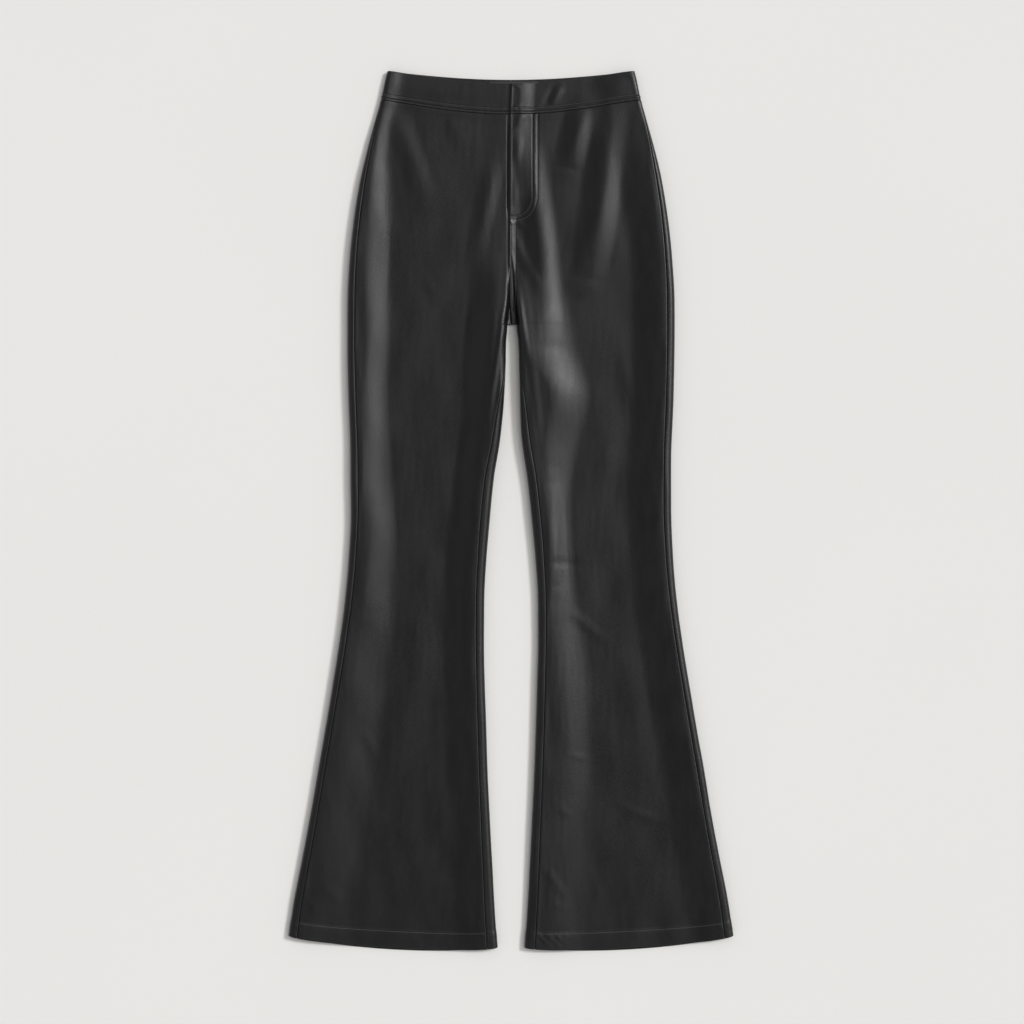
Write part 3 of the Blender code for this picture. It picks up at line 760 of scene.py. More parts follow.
@dataclass
class Sewing:
    """The sewn rows of the trousers, with the sizes that place them."""

    form: TrouserForm
    band_rows: tuple[float, float] = (1.9, 7.2)
    fly_rows: tuple[float, float] = (27.4, 34.0)
    fly_turn_y: float = 402.5
    fly_foot_x: float = 6.9
    fly_foot_y: tuple[float, float] = (376.9, 371.4)
    seam_rows: tuple[float, float] = (-0.1, 6.0)
    seam_span: tuple[float, float] = (366.0, 262.0)
    hem_height: float = 19.5
    edge_clear: float = 1.6
    tack_x: tuple[float, float] = (-0.6, 6.8)
    tack_y: tuple[float, float] = (376.4, 371.6)
    tack_turns: int = 13
    row_steps: int = 60
    turn_steps: int = 18
    fly_top_clear: float = 1.5
    seam_drift: float = 0.7
    band_start: float = 1.5
    underlap_start: float = 0.9

    def level_row(self, y: float, first: float, last: float, side: Side, is_front: bool) -> StitchRow:
        """A row across a piece at one height, bent as the piece is."""
        x = np.linspace(first, last, self.row_steps)
        along = y - self.form.drop(x, y, is_front)
        return StitchRow(list(zip(side.value * x, along)), faces_up=is_front)

    def fly(self) -> list[StitchRow]:
        """The two rows that hold the fly's facing, straight down and then round to the centre."""
        rows = []
        seam = self.form.band_seam_y
        turns = np.linspace(0.0, np.pi / 2, self.turn_steps)
        for x, foot in zip(self.fly_rows, self.fly_foot_y):
            top = seam - float(self.form.dip(x, seam, self.form.front_seam_dip, True))
            bend_x = self.fly_foot_x + (x - self.fly_foot_x) * np.cos(turns)
            bend_y = self.fly_turn_y - (self.fly_turn_y - foot) * np.sin(turns)
            rows.append(StitchRow([(x, top - self.fly_top_clear), *zip(bend_x, bend_y)]))
        return rows

    def centre_seam(self) -> list[StitchRow]:
        """The two rows beside the seam below the fly."""
        top, foot = self.seam_span
        return [StitchRow([(x, top), (x - self.seam_drift * (x < 0), foot)]) for x in self.seam_rows]

    def tack(self) -> StitchRow:
        """The tight zigzag at the foot of the fly."""
        x = np.linspace(*self.tack_x, self.tack_turns)
        y = [self.tack_y[i % 2] for i in range(self.tack_turns)]
        return StitchRow(list(zip(x, y)), pitch=4.6, length=5.2, width=0.5)

    def band(self, side: Side, is_front: bool) -> list[StitchRow]:
        """The two rows above the waistband's seam, on one piece."""
        rows = []
        for height in self.band_rows:
            y = self.form.band_seam_y + height
            first = self.band_start if side is Side.LEFT or not is_front else self.underlap_start
            rows.append(self.level_row(y, first, self.form.side_x(y) - self.edge_clear, side, is_front))
        return rows

    def hem(self, side: Side, is_front: bool) -> StitchRow:
        """The row that holds one leg's hem, on its front or its back."""
        y = self.form.hem_y + self.hem_height
        first = self.form.inner_x[side](y) + self.edge_clear
        return self.level_row(y, first, self.form.side_x(y) - self.edge_clear, side, is_front)


@dataclass
class Tailoring:
    """The fine shape that sewing and wear give the cloth, as lifts outwards from its form."""

    form: TrouserForm
    sewing: Sewing
    seam_radius: float = 1.5
    seam_depth: float = 0.75
    allowance_reach: float = 10.0
    allowance_lift: float = 0.28
    row_reach: float = 1.5
    row_depth: float = 0.32
    ridge_lift: float = 0.42
    hem_lift: float = 0.45
    hem_step: tuple[float, float] = (0.6, 1.6)
    hem_slant: float = 0.9
    hem_edge_calm: float = 4.0
    hem_row_past: float = 3.0
    hem_row_calm: float = 6.0
    lip_lift: float = 0.34
    lip_place: float = 1.5
    lip_reach: float = 2.6
    pucker_reach: float = 8.0
    tack_depth: float = 0.3
    tack_reach: float = 1.6
    seam_calm: float = 7.0
    crown_lift: float = 0.3
    crown_height: float = 22.0
    crown_reach: float = 15.0
    fly_seed: int = 31
    seam_seed: int = 37
    hem_seed: int = 41
    band_seed: int = 47
    mottle: Ripple = Ripple(0.03, 12.0, 60.0, 11)
    sway: Ripple = Ripple(0.22, 70.0, 170.0, 12)
    pucker: Ripple = Ripple(0.05, 9.0, 14.0, 13)
    roping: Ripple = Ripple(0.06, 15.0, 26.0, 14)

    def seams(self, grid: Grid) -> np.ndarray:
        """The rounded edges beside every seam, and the low rise of the allowances under them."""
        total = np.zeros_like(grid.lift)
        has_lap = (grid.station >= self.form.crotch_y) & grid.is_front
        for distance, is_seam in ((grid.from_start, ~has_lap), (grid.from_end, np.ones_like(has_lap))):
            total -= is_seam * self.seam_depth * turned_edge(distance, self.seam_radius)
            rise = bell(distance, self.allowance_reach) ** 0.5
            total += is_seam * self.allowance_lift * rise * (1.0 - grid.below)
        return total

    def folded_edge(self, grid: Grid) -> np.ndarray:
        """The turned edge of the left front where it laps over the right one."""
        if not grid.is_front or grid.side is Side.RIGHT:
            return np.zeros_like(grid.lift)
        lapped = grid.station >= self.form.crotch_y
        lip = self.lip_lift * bell(grid.from_start - self.lip_place, self.lip_reach)
        return lapped * (lip - self.seam_depth * turned_edge(grid.from_start, self.seam_radius))

    def row(self, grid: Grid, distance: np.ndarray, seed: int) -> np.ndarray:
        """The groove that a sewn row pulls in, and the puckers across it."""
        groove = -self.row_depth * bell(distance, self.row_reach)
        pucker = Ripple(self.pucker.height, self.pucker.across, self.pucker.along, seed)
        return groove + pucker.heights(grid.x, grid.y) * bell(distance, self.pucker_reach)

    def pair(
        self, grid: Grid, distances: Sequence[np.ndarray], places: Sequence[float], seed: int
    ) -> np.ndarray:
        """Two sewn rows with the ridge between them.

        Args:
            grid: the piece.
            distances: the distances of its points from either row.
            places: the places of the two rows.
            seed: the first row's seed, which the second row's follows.

        Returns:
            The lifts.
        """
        first, second = distances
        apart = places[1] - places[0]
        between = smooth((apart - np.abs(first + second - apart)) / apart)
        ridge = self.ridge_lift * between * smooth(np.minimum(first, second) / (apart / 2))
        return ridge + self.row(grid, first, seed) + self.row(grid, second, seed + 1)

    def front(self, grid: Grid) -> np.ndarray:
        """The sewing on a front panel."""
        total = self.folded_edge(grid)
        if grid.side is Side.LEFT:
            fly = [row.distance(grid.x, grid.y) for row in self.sewing.fly()]
            total += self.pair(grid, fly, self.sewing.fly_rows, self.fly_seed)
            seam = [row.distance(grid.x, grid.y) for row in self.sewing.centre_seam()]
            total += self.pair(grid, seam, self.sewing.seam_rows, self.seam_seed)
            total -= self.tack_depth * bell(self.sewing.tack().distance(grid.x, grid.y), self.tack_reach)
        return total

    def hem(self, grid: Grid) -> np.ndarray:
        """The turned-up hem: thicker cloth, its sewn row and the slanting drag lines above and below it."""
        up = grid.station - self.form.hem_y
        height = self.sewing.hem_height
        past, step = self.hem_step
        thicker = self.hem_lift * (1.0 - smooth((up - height - past) / step)) * (1.0 - grid.below)
        slant = self.roping.heights(grid.x + self.hem_slant * up, grid.y) * smooth(up / self.hem_edge_calm)
        slant = slant * smooth((height + self.hem_row_past - up) / self.hem_row_calm)
        return thicker + slant * (1.0 - grid.below) + self.row(grid, np.abs(up - height), self.hem_seed)

    def surface(self, grid: Grid) -> np.ndarray:
        """The low unevenness of the whole cloth."""
        clear = smooth(grid.from_start / self.seam_calm) * smooth(grid.from_end / self.seam_calm)
        low = self.mottle.heights(grid.x, grid.y) + clear * self.sway.heights(grid.x, grid.y)
        return low * (1.0 - grid.below)

    def panel(self, grid: Grid) -> None:
        """Shape a leg panel."""
        grid.lift += self.seams(grid) + self.surface(grid) + self.hem(grid)
        top_gap = self.form.band_seam_y - grid.station
        grid.lift -= self.seam_depth * turned_edge(top_gap, self.seam_radius)
        grid.lift += self.allowance_lift * bell(top_gap, self.allowance_reach) ** 0.5 * (1.0 - grid.below)
        if grid.is_front:
            grid.lift += self.front(grid)

    def band(self, grid: Grid) -> None:
        """Shape a piece of the waistband."""
        up = grid.station - self.form.band_seam_y
        rows = [np.abs(up - height) for height in self.sewing.band_rows]
        grid.lift += self.seams(grid) + self.folded_edge(grid)
        grid.lift += self.mottle.heights(grid.x, grid.y) * (1.0 - grid.below)
        grid.lift += self.pair(grid, rows, self.sewing.band_rows, self.band_seed)
        grid.lift -= self.seam_depth * turned_edge(up, self.seam_radius)
        grid.lift += self.crown_lift * bell(up - self.crown_height, self.crown_reach) * (1.0 - grid.below)


@dataclass
class Cloth:
    """A piece of cloth: a shaped grid with a wall behind it, cut from one flat piece."""

    name: str
    grid: Grid
    free_edge: np.ndarray
    edge_share: float = 0.44
    thinnest: float = 0.14
    rubbed_place: float = 2.0
    rubbed_reach: float = 4.5
    most_rubbed_lift: float = 0.6

    def faces(self) -> tuple[np.ndarray, np.ndarray]:
        """The rows of points of the outer face and of the inner face, in millimetres."""
        grid = self.grid
        radius = grid.wall * self.edge_share
        rim = (radius * turned_edge(self.free_edge, radius))[..., None]
        lift = np.maximum(grid.lift[..., None], self.thinnest - grid.wall + 2 * rim)
        folded = grid.points + grid.outwards * grid.fold[..., None]
        outer = folded + grid.outwards * (lift - rim)
        inner = folded - grid.outwards * (grid.wall - rim)
        outer[..., 2] = np.maximum(outer[..., 2], 0.0)
        return outer, inner

    def flat_size(self) -> tuple[float, float, float]:
        """The cut's greatest width, its length and its area, in metres."""
        widths = self.grid.from_start[:, -1]
        stations = self.grid.station[:, 0]
        area = np.sum((widths[1:] + widths[:-1]) / 2 * -np.diff(stations))
        return widths.max() * MM, (stations[0] - stations[-1]) * MM, float(area) * MM * MM

    def build(self, face: bpy.types.Material, backing: bpy.types.Material) -> bpy.types.Object:
        """Make the piece: a flat grid that is given a second side and then moved to its points.

        Args:
            face: the material of the side that shows.
            backing: the material of the side towards the wearer.

        Returns:
            The new object.
        """
        sides = np.stack(self.faces(), axis=1) * MM
        rows, columns = sides.shape[0] - 1, sides.shape[2] - 1
        bm = bmesh.new()
        wear = bm.verts.layers.float.new("wear")
        worn = self.wear()
        inner = doubled_grid(bm, columns, rows)
        for made in bm.faces:
            made.material_index = int(all(vert in inner for vert in made.verts))
            made.smooth = True
        for vert in bm.verts:
            column = round((vert.co.x + 0.5) * columns)
            row = round((vert.co.y + 0.5) * rows)
            vert.co = sides[row, int(vert in inner), column]
            vert[wear] = worn[row, column]
        bmesh.ops.recalc_face_normals(bm, faces=bm.faces)
        return new_piece(self.name, bm, (face, backing))

    def wear(self) -> np.ndarray:
        """Where the face is rubbed: along the seams, the turned edges and the crests of the rolls."""
        grid = self.grid
        near_edge = np.minimum(np.minimum(grid.from_start, grid.from_end), self.free_edge)
        rubbed = bell(near_edge - self.rubbed_place, self.rubbed_reach)
        return np.clip(rubbed + np.clip(grid.lift, 0.0, self.most_rubbed_lift), 0.0, 1.0)


def doubled_grid(bm: bmesh.types.BMesh, columns: int, rows: int) -> set[bmesh.types.BMVert]:
    """Add a flat grid with a second side joined on at the rim, and return the second side's points."""
    bmesh.ops.create_grid(bm, x_segments=columns, y_segments=rows, size=0.5)
    doubled = bmesh.ops.extrude_face_region(bm, geom=bm.faces[:])
    return {item for item in doubled["geom"] if isinstance(item, bmesh.types.BMVert)}


def linked(name: str, data: bpy.types.ID) -> bpy.types.Object:
    """A new object with this data, linked to the scene."""
    made = bpy.data.objects.new(name, data)
    bpy.context.scene.collection.objects.link(made)
    return made


def mesh_from(name: str, bm: bmesh.types.BMesh, materials: Sequence[bpy.types.Material]) -> bpy.types.Mesh:
    """A mesh from a finished bmesh, which is freed, with its materials by index."""
    mesh = bpy.data.meshes.new(name)
    bm.to_mesh(mesh)
    bm.free()
    for material in materials:
        mesh.materials.append(material)
    return mesh


def new_piece(
    name: str, bm: bmesh.types.BMesh, materials: Sequence[bpy.types.Material]
) -> bpy.types.Object:
    """An object from a finished bmesh, at the origin, riding on the trousers' one body.

    Args:
        name: the piece's name.
        bm: the shape, which is freed.
        materials: the materials by index.

    Returns:
        The new object, linked to the scene.
    """
    piece = linked(name, mesh_from(name, bm, materials))
    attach(piece, BODY)
    return piece


@dataclass
class Needlework:
    """The visible thread: every stitch a small rounded bar, seated in the cloth that it holds."""

    proud: float = 0.1
    rings: int = 4
    clear_height: float = 100.0
    surfaces: dict[str, BVHTree] = field(default_factory=dict)

    def seat(
        self, piece: bpy.types.Object, x: float, y: float, from_above: bool
    ) -> tuple[Vector, Vector] | None:
        """The point and the direction out of a piece's surface, over or under a place in plan, in metres.

        Args:
            piece: the piece that is sewn on.
            x: the place across the garment.
            y: the place along it.
            from_above: whether its upper side is meant.

        Returns:
            The point and the direction, or nothing where the piece isn't there.
        """
        height = self.clear_height * MM if from_above else -self.clear_height * MM
        if piece.name not in self.surfaces:
            bm = bmesh.new()
            bm.from_mesh(piece.data)
            self.surfaces[piece.name] = BVHTree.FromBMesh(bm)
            bm.free()
        start, down = Vector((x, y, height)), Vector((0.0, 0.0, -height))
        place, out, _, _ = self.surfaces[piece.name].ray_cast(start, down)
        return None if place is None else (place, out)

    def sew(
        self, name: str, work: Sequence[tuple[StitchRow, bpy.types.Object]], thread: bpy.types.Material
    ) -> bpy.types.Object:
        """Sew rows of stitches and join them into one piece.

        Args:
            name: the piece's name.
            work: each row with the cloth that it is sewn on.
            thread: the thread's material.

        Returns:
            The joined stitches.
        """
        bm = bmesh.new()
        lying = Matrix.Rotation(math.pi / 2, 4, "Y")
        for row, cloth in work:
            middles, runs = row.stations()
            for (x, y), (run_x, run_y) in zip(middles * MM, runs):
                seat = self.seat(cloth, x, y, row.faces_up)
                if seat is None:
                    continue
                place, out = seat
                along = Vector((run_x, run_y, 0.0))
                along = (along - out * along.dot(out)).normalized()
                beside = out.cross(along)
                size = Vector((row.length / 2, row.width / 2, row.width / 2)) * MM
                at = place + out * (row.width * self.proud) * MM
                at.z = max(at.z, row.width / 2 * MM)
                turn = Matrix((along, beside, out)).transposed().to_4x4()
                stitch = Matrix.Translation(at) @ turn @ Matrix.Diagonal((*size, 1.0)) @ lying
                bmesh.ops.create_uvsphere(
                    bm, u_segments=self.rings + 2, v_segments=self.rings, radius=1.0, matrix=stitch
                )
        for made in bm.faces:
            made.smooth = True
        stitches = new_piece(name, bm, (thread,))
        LOG.info("%s: %d rows", name, len(work))
        return stitches


class Wire:
    """A socket that gives a varying number or colour, with the arithmetic of numbers."""

    def __init__(self, tree: "NodeTree", socket: bpy.types.NodeSocket) -> None:
        """Wrap a socket of a tree's nodes."""
        self.tree = tree
        self.socket = socket

    def _sum(self, operation: str, first: "Wire | float", second: "Wire | float") -> "Wire":
        """A Math node on two values."""
        return self.tree.node("ShaderNodeMath", {"operation": operation}, {0: first, 1: second})

    def __add__(self, other: "Wire | float") -> "Wire":
        """This value plus another."""
        return self._sum("ADD", self, other)

    def __radd__(self, other: float) -> "Wire":
        """A number plus this value."""
        return self._sum("ADD", other, self)

    def __sub__(self, other: "Wire | float") -> "Wire":
        """This value less another."""
        return self._sum("SUBTRACT", self, other)

    def __rsub__(self, other: float) -> "Wire":
        """A number less this value."""
        return self._sum("SUBTRACT", other, self)

    def __mul__(self, other: "Wire | float") -> "Wire":
        """This value times another."""
        return self._sum("MULTIPLY", self, other)

    def __rmul__(self, other: float) -> "Wire":
        """A number times this value."""
        return self._sum("MULTIPLY", other, self)


class NodeTree:
    """A tree of shader nodes under construction."""

    def __init__(self, tree: bpy.types.NodeTree) -> None:
        """Go on from the nodes that are there."""
        self.tree = tree

    def node(self, kind: str, settings: dict, inputs: dict, output: int = 0) -> Wire:
        """Add a node.

        Args:
            kind: the node's type.
            settings: its properties.
            inputs: values or wires by the name or number of the socket.
            output: the number of the socket that is wanted.

        Returns:
            The wanted output.
        """
        made = self.tree.nodes.new(kind)
        for setting, value in settings.items():
            setattr(made, setting, value)
        for socket, value in inputs.items():
            if isinstance(value, Wire):
                self.tree.links.new(value.socket, made.inputs[socket])
            else:
                made.inputs[socket].default_value = value
        return Wire(self, made.outputs[output])

    def between(
        self, value: Wire, low: float, high: float, to_low: float = 0.0, to_high: float = 1.0
    ) -> Wire:
        """A value brought softly from one range to another.

        Args:
            value: the value.
            low: the foot of its own range.
            high: the top of its own range.
            to_low: what the foot becomes.
            to_high: what the top becomes.

        Returns:
            The new value.
        """
        inputs = {"Value": value, "From Min": low, "From Max": high, "To Min": to_low, "To Max": to_high}
        return self.node("ShaderNodeMapRange", {"interpolation_type": "SMOOTHSTEP"}, inputs)


class Looks(NodeTree):
    """A material under construction: its shader and the nodes that feed it."""

    def __init__(self, name: str) -> None:
        """Start a material with one Principled shader."""
        self.material = bpy.data.materials.new(name)
        self.material.use_nodes = True
        super().__init__(self.material.node_tree)
        self.shader = self.tree.nodes["Principled BSDF"]

    def place(self) -> Wire:
        """The place on the piece, in metres."""
        return self.node("ShaderNodeTexCoord", {}, {}, output=3)

    def stretched(self, scale: tuple[float, float, float]) -> Wire:
        """The place, scaled along each axis."""
        return self.node("ShaderNodeVectorMath", {"operation": "MULTIPLY"}, {0: self.place(), 1: scale})

    def noise(self, place: Wire, scale: float, detail: float = 2.0, roughness: float = 0.5) -> Wire:
        """Soft noise from 0 to 1."""
        inputs = {"Vector": place, "Scale": scale, "Detail": detail, "Roughness": roughness}
        return self.node("ShaderNodeTexNoise", {}, inputs)

    def wave(self, place: Wire, scale: float, direction: str) -> Wire:
        """Soft bands from 0 to 1, one after another along X, along Y or aslant."""
        inputs = {"Vector": place, "Scale": scale}
        return self.node("ShaderNodeTexWave", {"bands_direction": direction}, inputs)

    def blend(self, share: Wire, first: tuple | Wire, second: tuple | Wire) -> Wire:
        """A colour between two others."""
        return self.node("ShaderNodeMix", {"data_type": "RGBA"}, {0: share, 6: first, 7: second}, output=2)

    def wear(self) -> Wire:
        """How rubbed the cloth is, from 0 to 1, as its mesh says."""
        return self.node("ShaderNodeAttribute", {"attribute_name": "wear"}, {}, output=2)

    def relief(self, height: Wire, depth: float, strength: float = 1.0) -> None:
        """Feed a height to the shader as fine relief, of that depth in metres."""
        inputs = {"Height": height, "Distance": depth, "Strength": strength}
        self.feed("Normal", self.node("ShaderNodeBump", {}, inputs))

    def feed(self, socket: str, wire: Wire) -> None:
        """Link a varying value to the shader."""
        self.tree.links.new(wire.socket, self.shader.inputs[socket])

    def set(self, **constants: float | tuple) -> "Looks":
        """Set constants on the shader, with its sockets' names in lower case and _ for a space."""
        for socket in self.shader.inputs:
            key = socket.name.lower().replace(" ", "_")
            if key in constants:
                socket.default_value = constants[key]
        return self


@dataclass(frozen=True)
class FauxLeather:
    """Black coated cloth with a fine pebbled grain and a soft satin shine."""

    deep: tuple = (0.0030, 0.0030, 0.0033, 1.0)
    pale: tuple = (0.0052, 0.0052, 0.0057, 1.0)
    rubbed: tuple = (0.010, 0.010, 0.0106, 1.0)
    roughness: float = 0.34
    specular: float = 0.42
    pebbles: float = 900.0
    pebble_spread: float = 0.9
    pebble_edge: float = 0.22
    pebble_bend: float = 0.0011
    bends: float = 420.0
    fines: float = 3200.0
    dapples: float = 480.0
    relief_depth: float = 0.00007
    relief_shares: tuple[float, float, float] = (0.5, 0.2, 1.4)
    streaks: float = 95.0
    streak_shape: tuple[float, float, float] = (1.0, 0.22, 1.0)
    clouds: float = 14.0
    tone_range: tuple[float, float] = (0.36, 0.64)
    rubbed_share: float = 0.35
    streak_roughness: float = 0.03
    groove_roughness: float = 0.06
    rubbed_roughness: float = 0.03

    def material(self) -> bpy.types.Material:
        """Make the finish."""
        looks = Looks("faux_leather_grain")
        place = looks.place()
        settings = {"Vector": place, "Scale": self.bends, "Detail": 1.0}
        drift = looks.node("ShaderNodeTexNoise", {}, settings, output=1)
        bend = {0: drift, 1: (self.pebble_bend,) * 3, 2: place}
        bent = looks.node("ShaderNodeVectorMath", {"operation": "MULTIPLY_ADD"}, bend)
        cells = {"Vector": bent, "Scale": self.pebbles, "Randomness": self.pebble_spread}
        pebble = looks.node("ShaderNodeTexVoronoi", {"feature": "DISTANCE_TO_EDGE"}, cells)
        pebble = looks.between(pebble, 0.0, self.pebble_edge)
        fine = looks.noise(place, self.fines, 2.0)
        dapple = looks.noise(place, self.dapples, 2.0, 0.6)
        by_pebble, by_fine, by_dapple = self.relief_shares
        looks.relief(pebble * by_pebble + fine * by_fine + dapple * by_dapple, self.relief_depth)
        streaks = looks.noise(looks.stretched(self.streak_shape), self.streaks, 3.0, 0.6)
        clouds = looks.noise(place, self.clouds, 3.0)
        worn = looks.wear()
        share = looks.between(clouds * 0.5 + streaks * 0.5, *self.tone_range)
        tone = looks.blend(share, self.deep, self.pale)
        looks.feed("Base Color", looks.blend(worn * self.rubbed_share, tone, self.rubbed))
        uneven = looks.between(streaks, 0.3, 0.7, -self.streak_roughness, self.streak_roughness)
        rough = self.roughness + uneven + (1.0 - pebble) * self.groove_roughness
        looks.feed("Roughness", rough - worn * self.rubbed_roughness)
        return looks.set(specular_ior_level=self.specular).material


@dataclass(frozen=True)
class BackingCloth:
    """The matt knitted back of the coated cloth."""

    valley: tuple = (0.006, 0.006, 0.0065, 1.0)
    crest: tuple = (0.021, 0.021, 0.022, 1.0)
    wales: float = 260.0
    courses: float = 200.0
    fuzz: float = 1500.0
    relief_depth: float = 0.00015

    def material(self) -> bpy.types.Material:
        """Make the finish."""
        looks = Looks("knitted_backing")
        place = looks.place()
        fuzz = looks.noise(place, self.fuzz, 3.0)
        knit = looks.wave(place, self.wales, "X") * looks.wave(place, self.courses, "Y") * 0.8 + fuzz * 0.2
        looks.feed("Base Color", looks.blend(knit, self.valley, self.crest))
        looks.feed("Roughness", looks.between(fuzz, 0.2, 0.8, 0.82, 0.95))
        looks.relief(knit, self.relief_depth)
        return looks.material


@dataclass(frozen=True)
class SewingThread:
    """Black twisted thread with a slight sheen."""

    dark: tuple = (0.040, 0.040, 0.041, 1.0)
    light: tuple = (0.100, 0.100, 0.102, 1.0)
    twists: float = 300.0
    relief_depth: float = 0.00006

    def material(self) -> bpy.types.Material:
        """Make the finish."""
        looks = Looks("black_thread")
        twist = looks.wave(looks.place(), self.twists, "DIAGONAL")
        looks.feed("Base Color", looks.blend(twist, self.dark, self.light))
        looks.feed("Roughness", looks.between(twist, 0.0, 1.0, 0.58, 0.42))
        looks.relief(twist, self.relief_depth)
        return looks.material


@dataclass(frozen=True)
class WovenTape:
    """A plain woven tape: the blank label, or the zip's tape."""

    name: str
    dark: tuple
    light: tuple
    threads: float
    roughness: float = 0.7
    weft_closer: float = 1.4
    roughness_spread: float = 0.08
    relief_depth: float = 0.0001

    def material(self) -> bpy.types.Material:
        """Make the finish."""
        looks = Looks(self.name)
        place = looks.place()
        warp = looks.wave(place, self.threads, "X")
        weft = looks.wave(place, self.threads * self.weft_closer, "Y")
        uneven = looks.noise(place, 700.0, 2.0)
        weave = warp * 0.5 + weft * 0.3 + uneven * 0.2
        looks.feed("Base Color", looks.blend(weave, self.dark, self.light))
        low, high = self.roughness - self.roughness_spread, self.roughness + self.roughness_spread
        looks.feed("Roughness", looks.between(uneven, 0.2, 0.8, low, high))
        looks.relief(weave, self.relief_depth)
        return looks.material


ZIP_TAPE = WovenTape("zip_tape_weave", (0.006, 0.006, 0.007, 1.0), (0.022, 0.022, 0.024, 1.0), 180.0)
LABEL_CLOTH = WovenTape("label_weave", (0.016, 0.016, 0.017, 1.0), (0.05, 0.05, 0.052, 1.0), 150.0, 0.6)


@dataclass(frozen=True)
class HookSteel:
    """Blackened pressed steel, brushed and a little rubbed."""

    dark: tuple = (0.10, 0.10, 0.105, 1.0)
    bright: tuple = (0.34, 0.34, 0.35, 1.0)

    def material(self) -> bpy.types.Material:
        """Make the finish."""
        looks = Looks("pressed_steel")
        brushed = looks.noise(looks.stretched((1.0, 0.06, 1.0)), 2600.0, 3.0)
        clouds = looks.noise(looks.place(), 400.0, 2.0)
        looks.feed("Base Color", looks.blend(looks.between(clouds, 0.35, 0.65), self.dark, self.bright))
        looks.feed("Roughness", looks.between(brushed, 0.3, 0.7, 0.26, 0.44))
        looks.relief(brushed, 0.00001)
        return looks.set(metallic=1.0).material


@dataclass(frozen=True)
class PaleFloor:
    """The plain warm white surface that the trousers lie on."""

    tone: tuple = (0.862, 0.853, 0.828, 1.0)
    shade: tuple = (0.842, 0.832, 0.806, 1.0)

    def material(self) -> bpy.types.Material:
        """Make the finish."""
        looks = Looks("pale_floor")
        clouds = looks.noise(looks.place(), 1.6, 2.0)
        looks.feed("Base Color", looks.blend(clouds, self.shade, self.tone))
        return looks.set(roughness=0.95, specular_ior_level=0.1).material


def cuts() -> list[tuple[Side, bool, str]]:
    """The fronts and backs: the side, whether it is a front, and the name that nodes have for it."""
    both = [(side, is_front) for side in Side for is_front in (True, False)]
    return [(side, is_front, f"{'front' if is_front else 'back'}_{side.word}") for side, is_front in both]


@dataclass
class LegPanels:
    """The two fronts and the two backs."""

    cutter: Cutter
    tailoring: Tailoring
    under_folds: tuple[Crease, ...] = ()
    thigh_edges: tuple[Crease, ...] = ()

    def build(self, face: bpy.types.Material, backing: bpy.types.Material) -> dict[str, bpy.types.Object]:
        """Make the four panels, log the sizes of their cuts and return them by name."""
        made = {}
        for side, is_front, name in cuts():
            grid = self.cutter.grid(side, is_front, is_band=False)
            self.tailoring.panel(grid)
            for crease in self.under_folds:
                grid.fold -= (not is_front) * grid.below * crease.heights(grid.x, grid.y)
            for crease in self.thigh_edges:
                grid.lift += is_front * grid.on_top * crease.heights(grid.x, grid.y)
            cloth = Cloth(name + "_panel", grid, grid.station - self.cutter.form.hem_y)
            made[name] = dress(cloth, name, face, backing)
        return made


@dataclass
class Waistband:
    """The four pieces of the waistband."""

    cutter: Cutter
    tailoring: Tailoring
    creases: tuple[Crease, ...] = ()

    def build(self, face: bpy.types.Material) -> dict[str, bpy.types.Object]:
        """Make the four pieces, faced with their own cloth, and return them by name."""
        made = {}
        for side, is_front, face_name in cuts():
            name = "waistband_" + face_name
            grid = self.cutter.grid(side, is_front, is_band=True)
            self.tailoring.band(grid)
            for crease in self.creases:
                grid.lift += is_front * grid.on_top * crease.heights(grid.x, grid.y)
            cloth = Cloth(name + "_cloth", grid, self.cutter.form.waist_y - grid.station)
            made[name] = dress(cloth, name, face, face)
        return made


def dress(
    cloth: Cloth, node: str, face: bpy.types.Material, backing: bpy.types.Material
) -> bpy.types.Object:
    """Make a piece of cloth, stand it for its solid and log the size of its cut.

    Args:
        cloth: the shaped cloth.
        node: the solid's name.
        face: the material of the side that shows.
        backing: the material of its other side.

    Returns:
        The new piece.
    """
    piece = cloth.build(face, backing)
    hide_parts(node)
    width, length, area = cloth.flat_size()
    LOG.info("%s: cut %.0f x %.0f mm, %.4f square metres", piece.name, width / MM, length / MM, area)
    return piece


@dataclass
class InnerLabel:
    """The blank woven label inside the back of the waistband."""

    margin: float = 1.6
    corner: float = 1.2
    soft_edge: float = 0.3

    def build(self, cloth: bpy.types.Material, thread: bpy.types.Material) -> bpy.types.Object:
        """Make the label with its turned edges and its sewn border."""
        low, high = (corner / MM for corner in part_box("inner_label"))
        size, middle = high - low, (high + low) / 2
        bm = bmesh.new()
        shape = Matrix.Translation(middle * MM) @ Matrix.Diagonal((*(size * MM), 1.0))
        bmesh.ops.create_cube(bm, size=1.0, matrix=shape)
        soften(bm, [edge for edge in bm.edges if rise_of(edge) > 0.5 * size.z * MM], self.corner, 4)
        soften(bm, [edge for edge in bm.edges if rise_of(edge) < 0.1 * size.z * MM], self.soft_edge, 2)
        for made in bm.faces:
            made.smooth = True
        label = new_piece("blank_label", bm, (cloth,))
        label.data.set_sharp_from_angle(angle=math.radians(50))
        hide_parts("inner_label")
        left, right = low.x + self.margin, high.x - self.margin
        foot, top = low.y + self.margin, high.y - self.margin
        corners = [(left, foot), (right, foot), (right, top), (left, top), (left, foot)]
        border = StitchRow(corners, pitch=2.6, length=1.9)
        Needlework().sew("label_stitching", [(border, label)], thread)
        return label


def rise_of(edge: bmesh.types.BMEdge) -> float:
    """How much higher one end of an edge is than the other, in metres."""
    return abs(edge.verts[0].co.z - edge.verts[1].co.z)


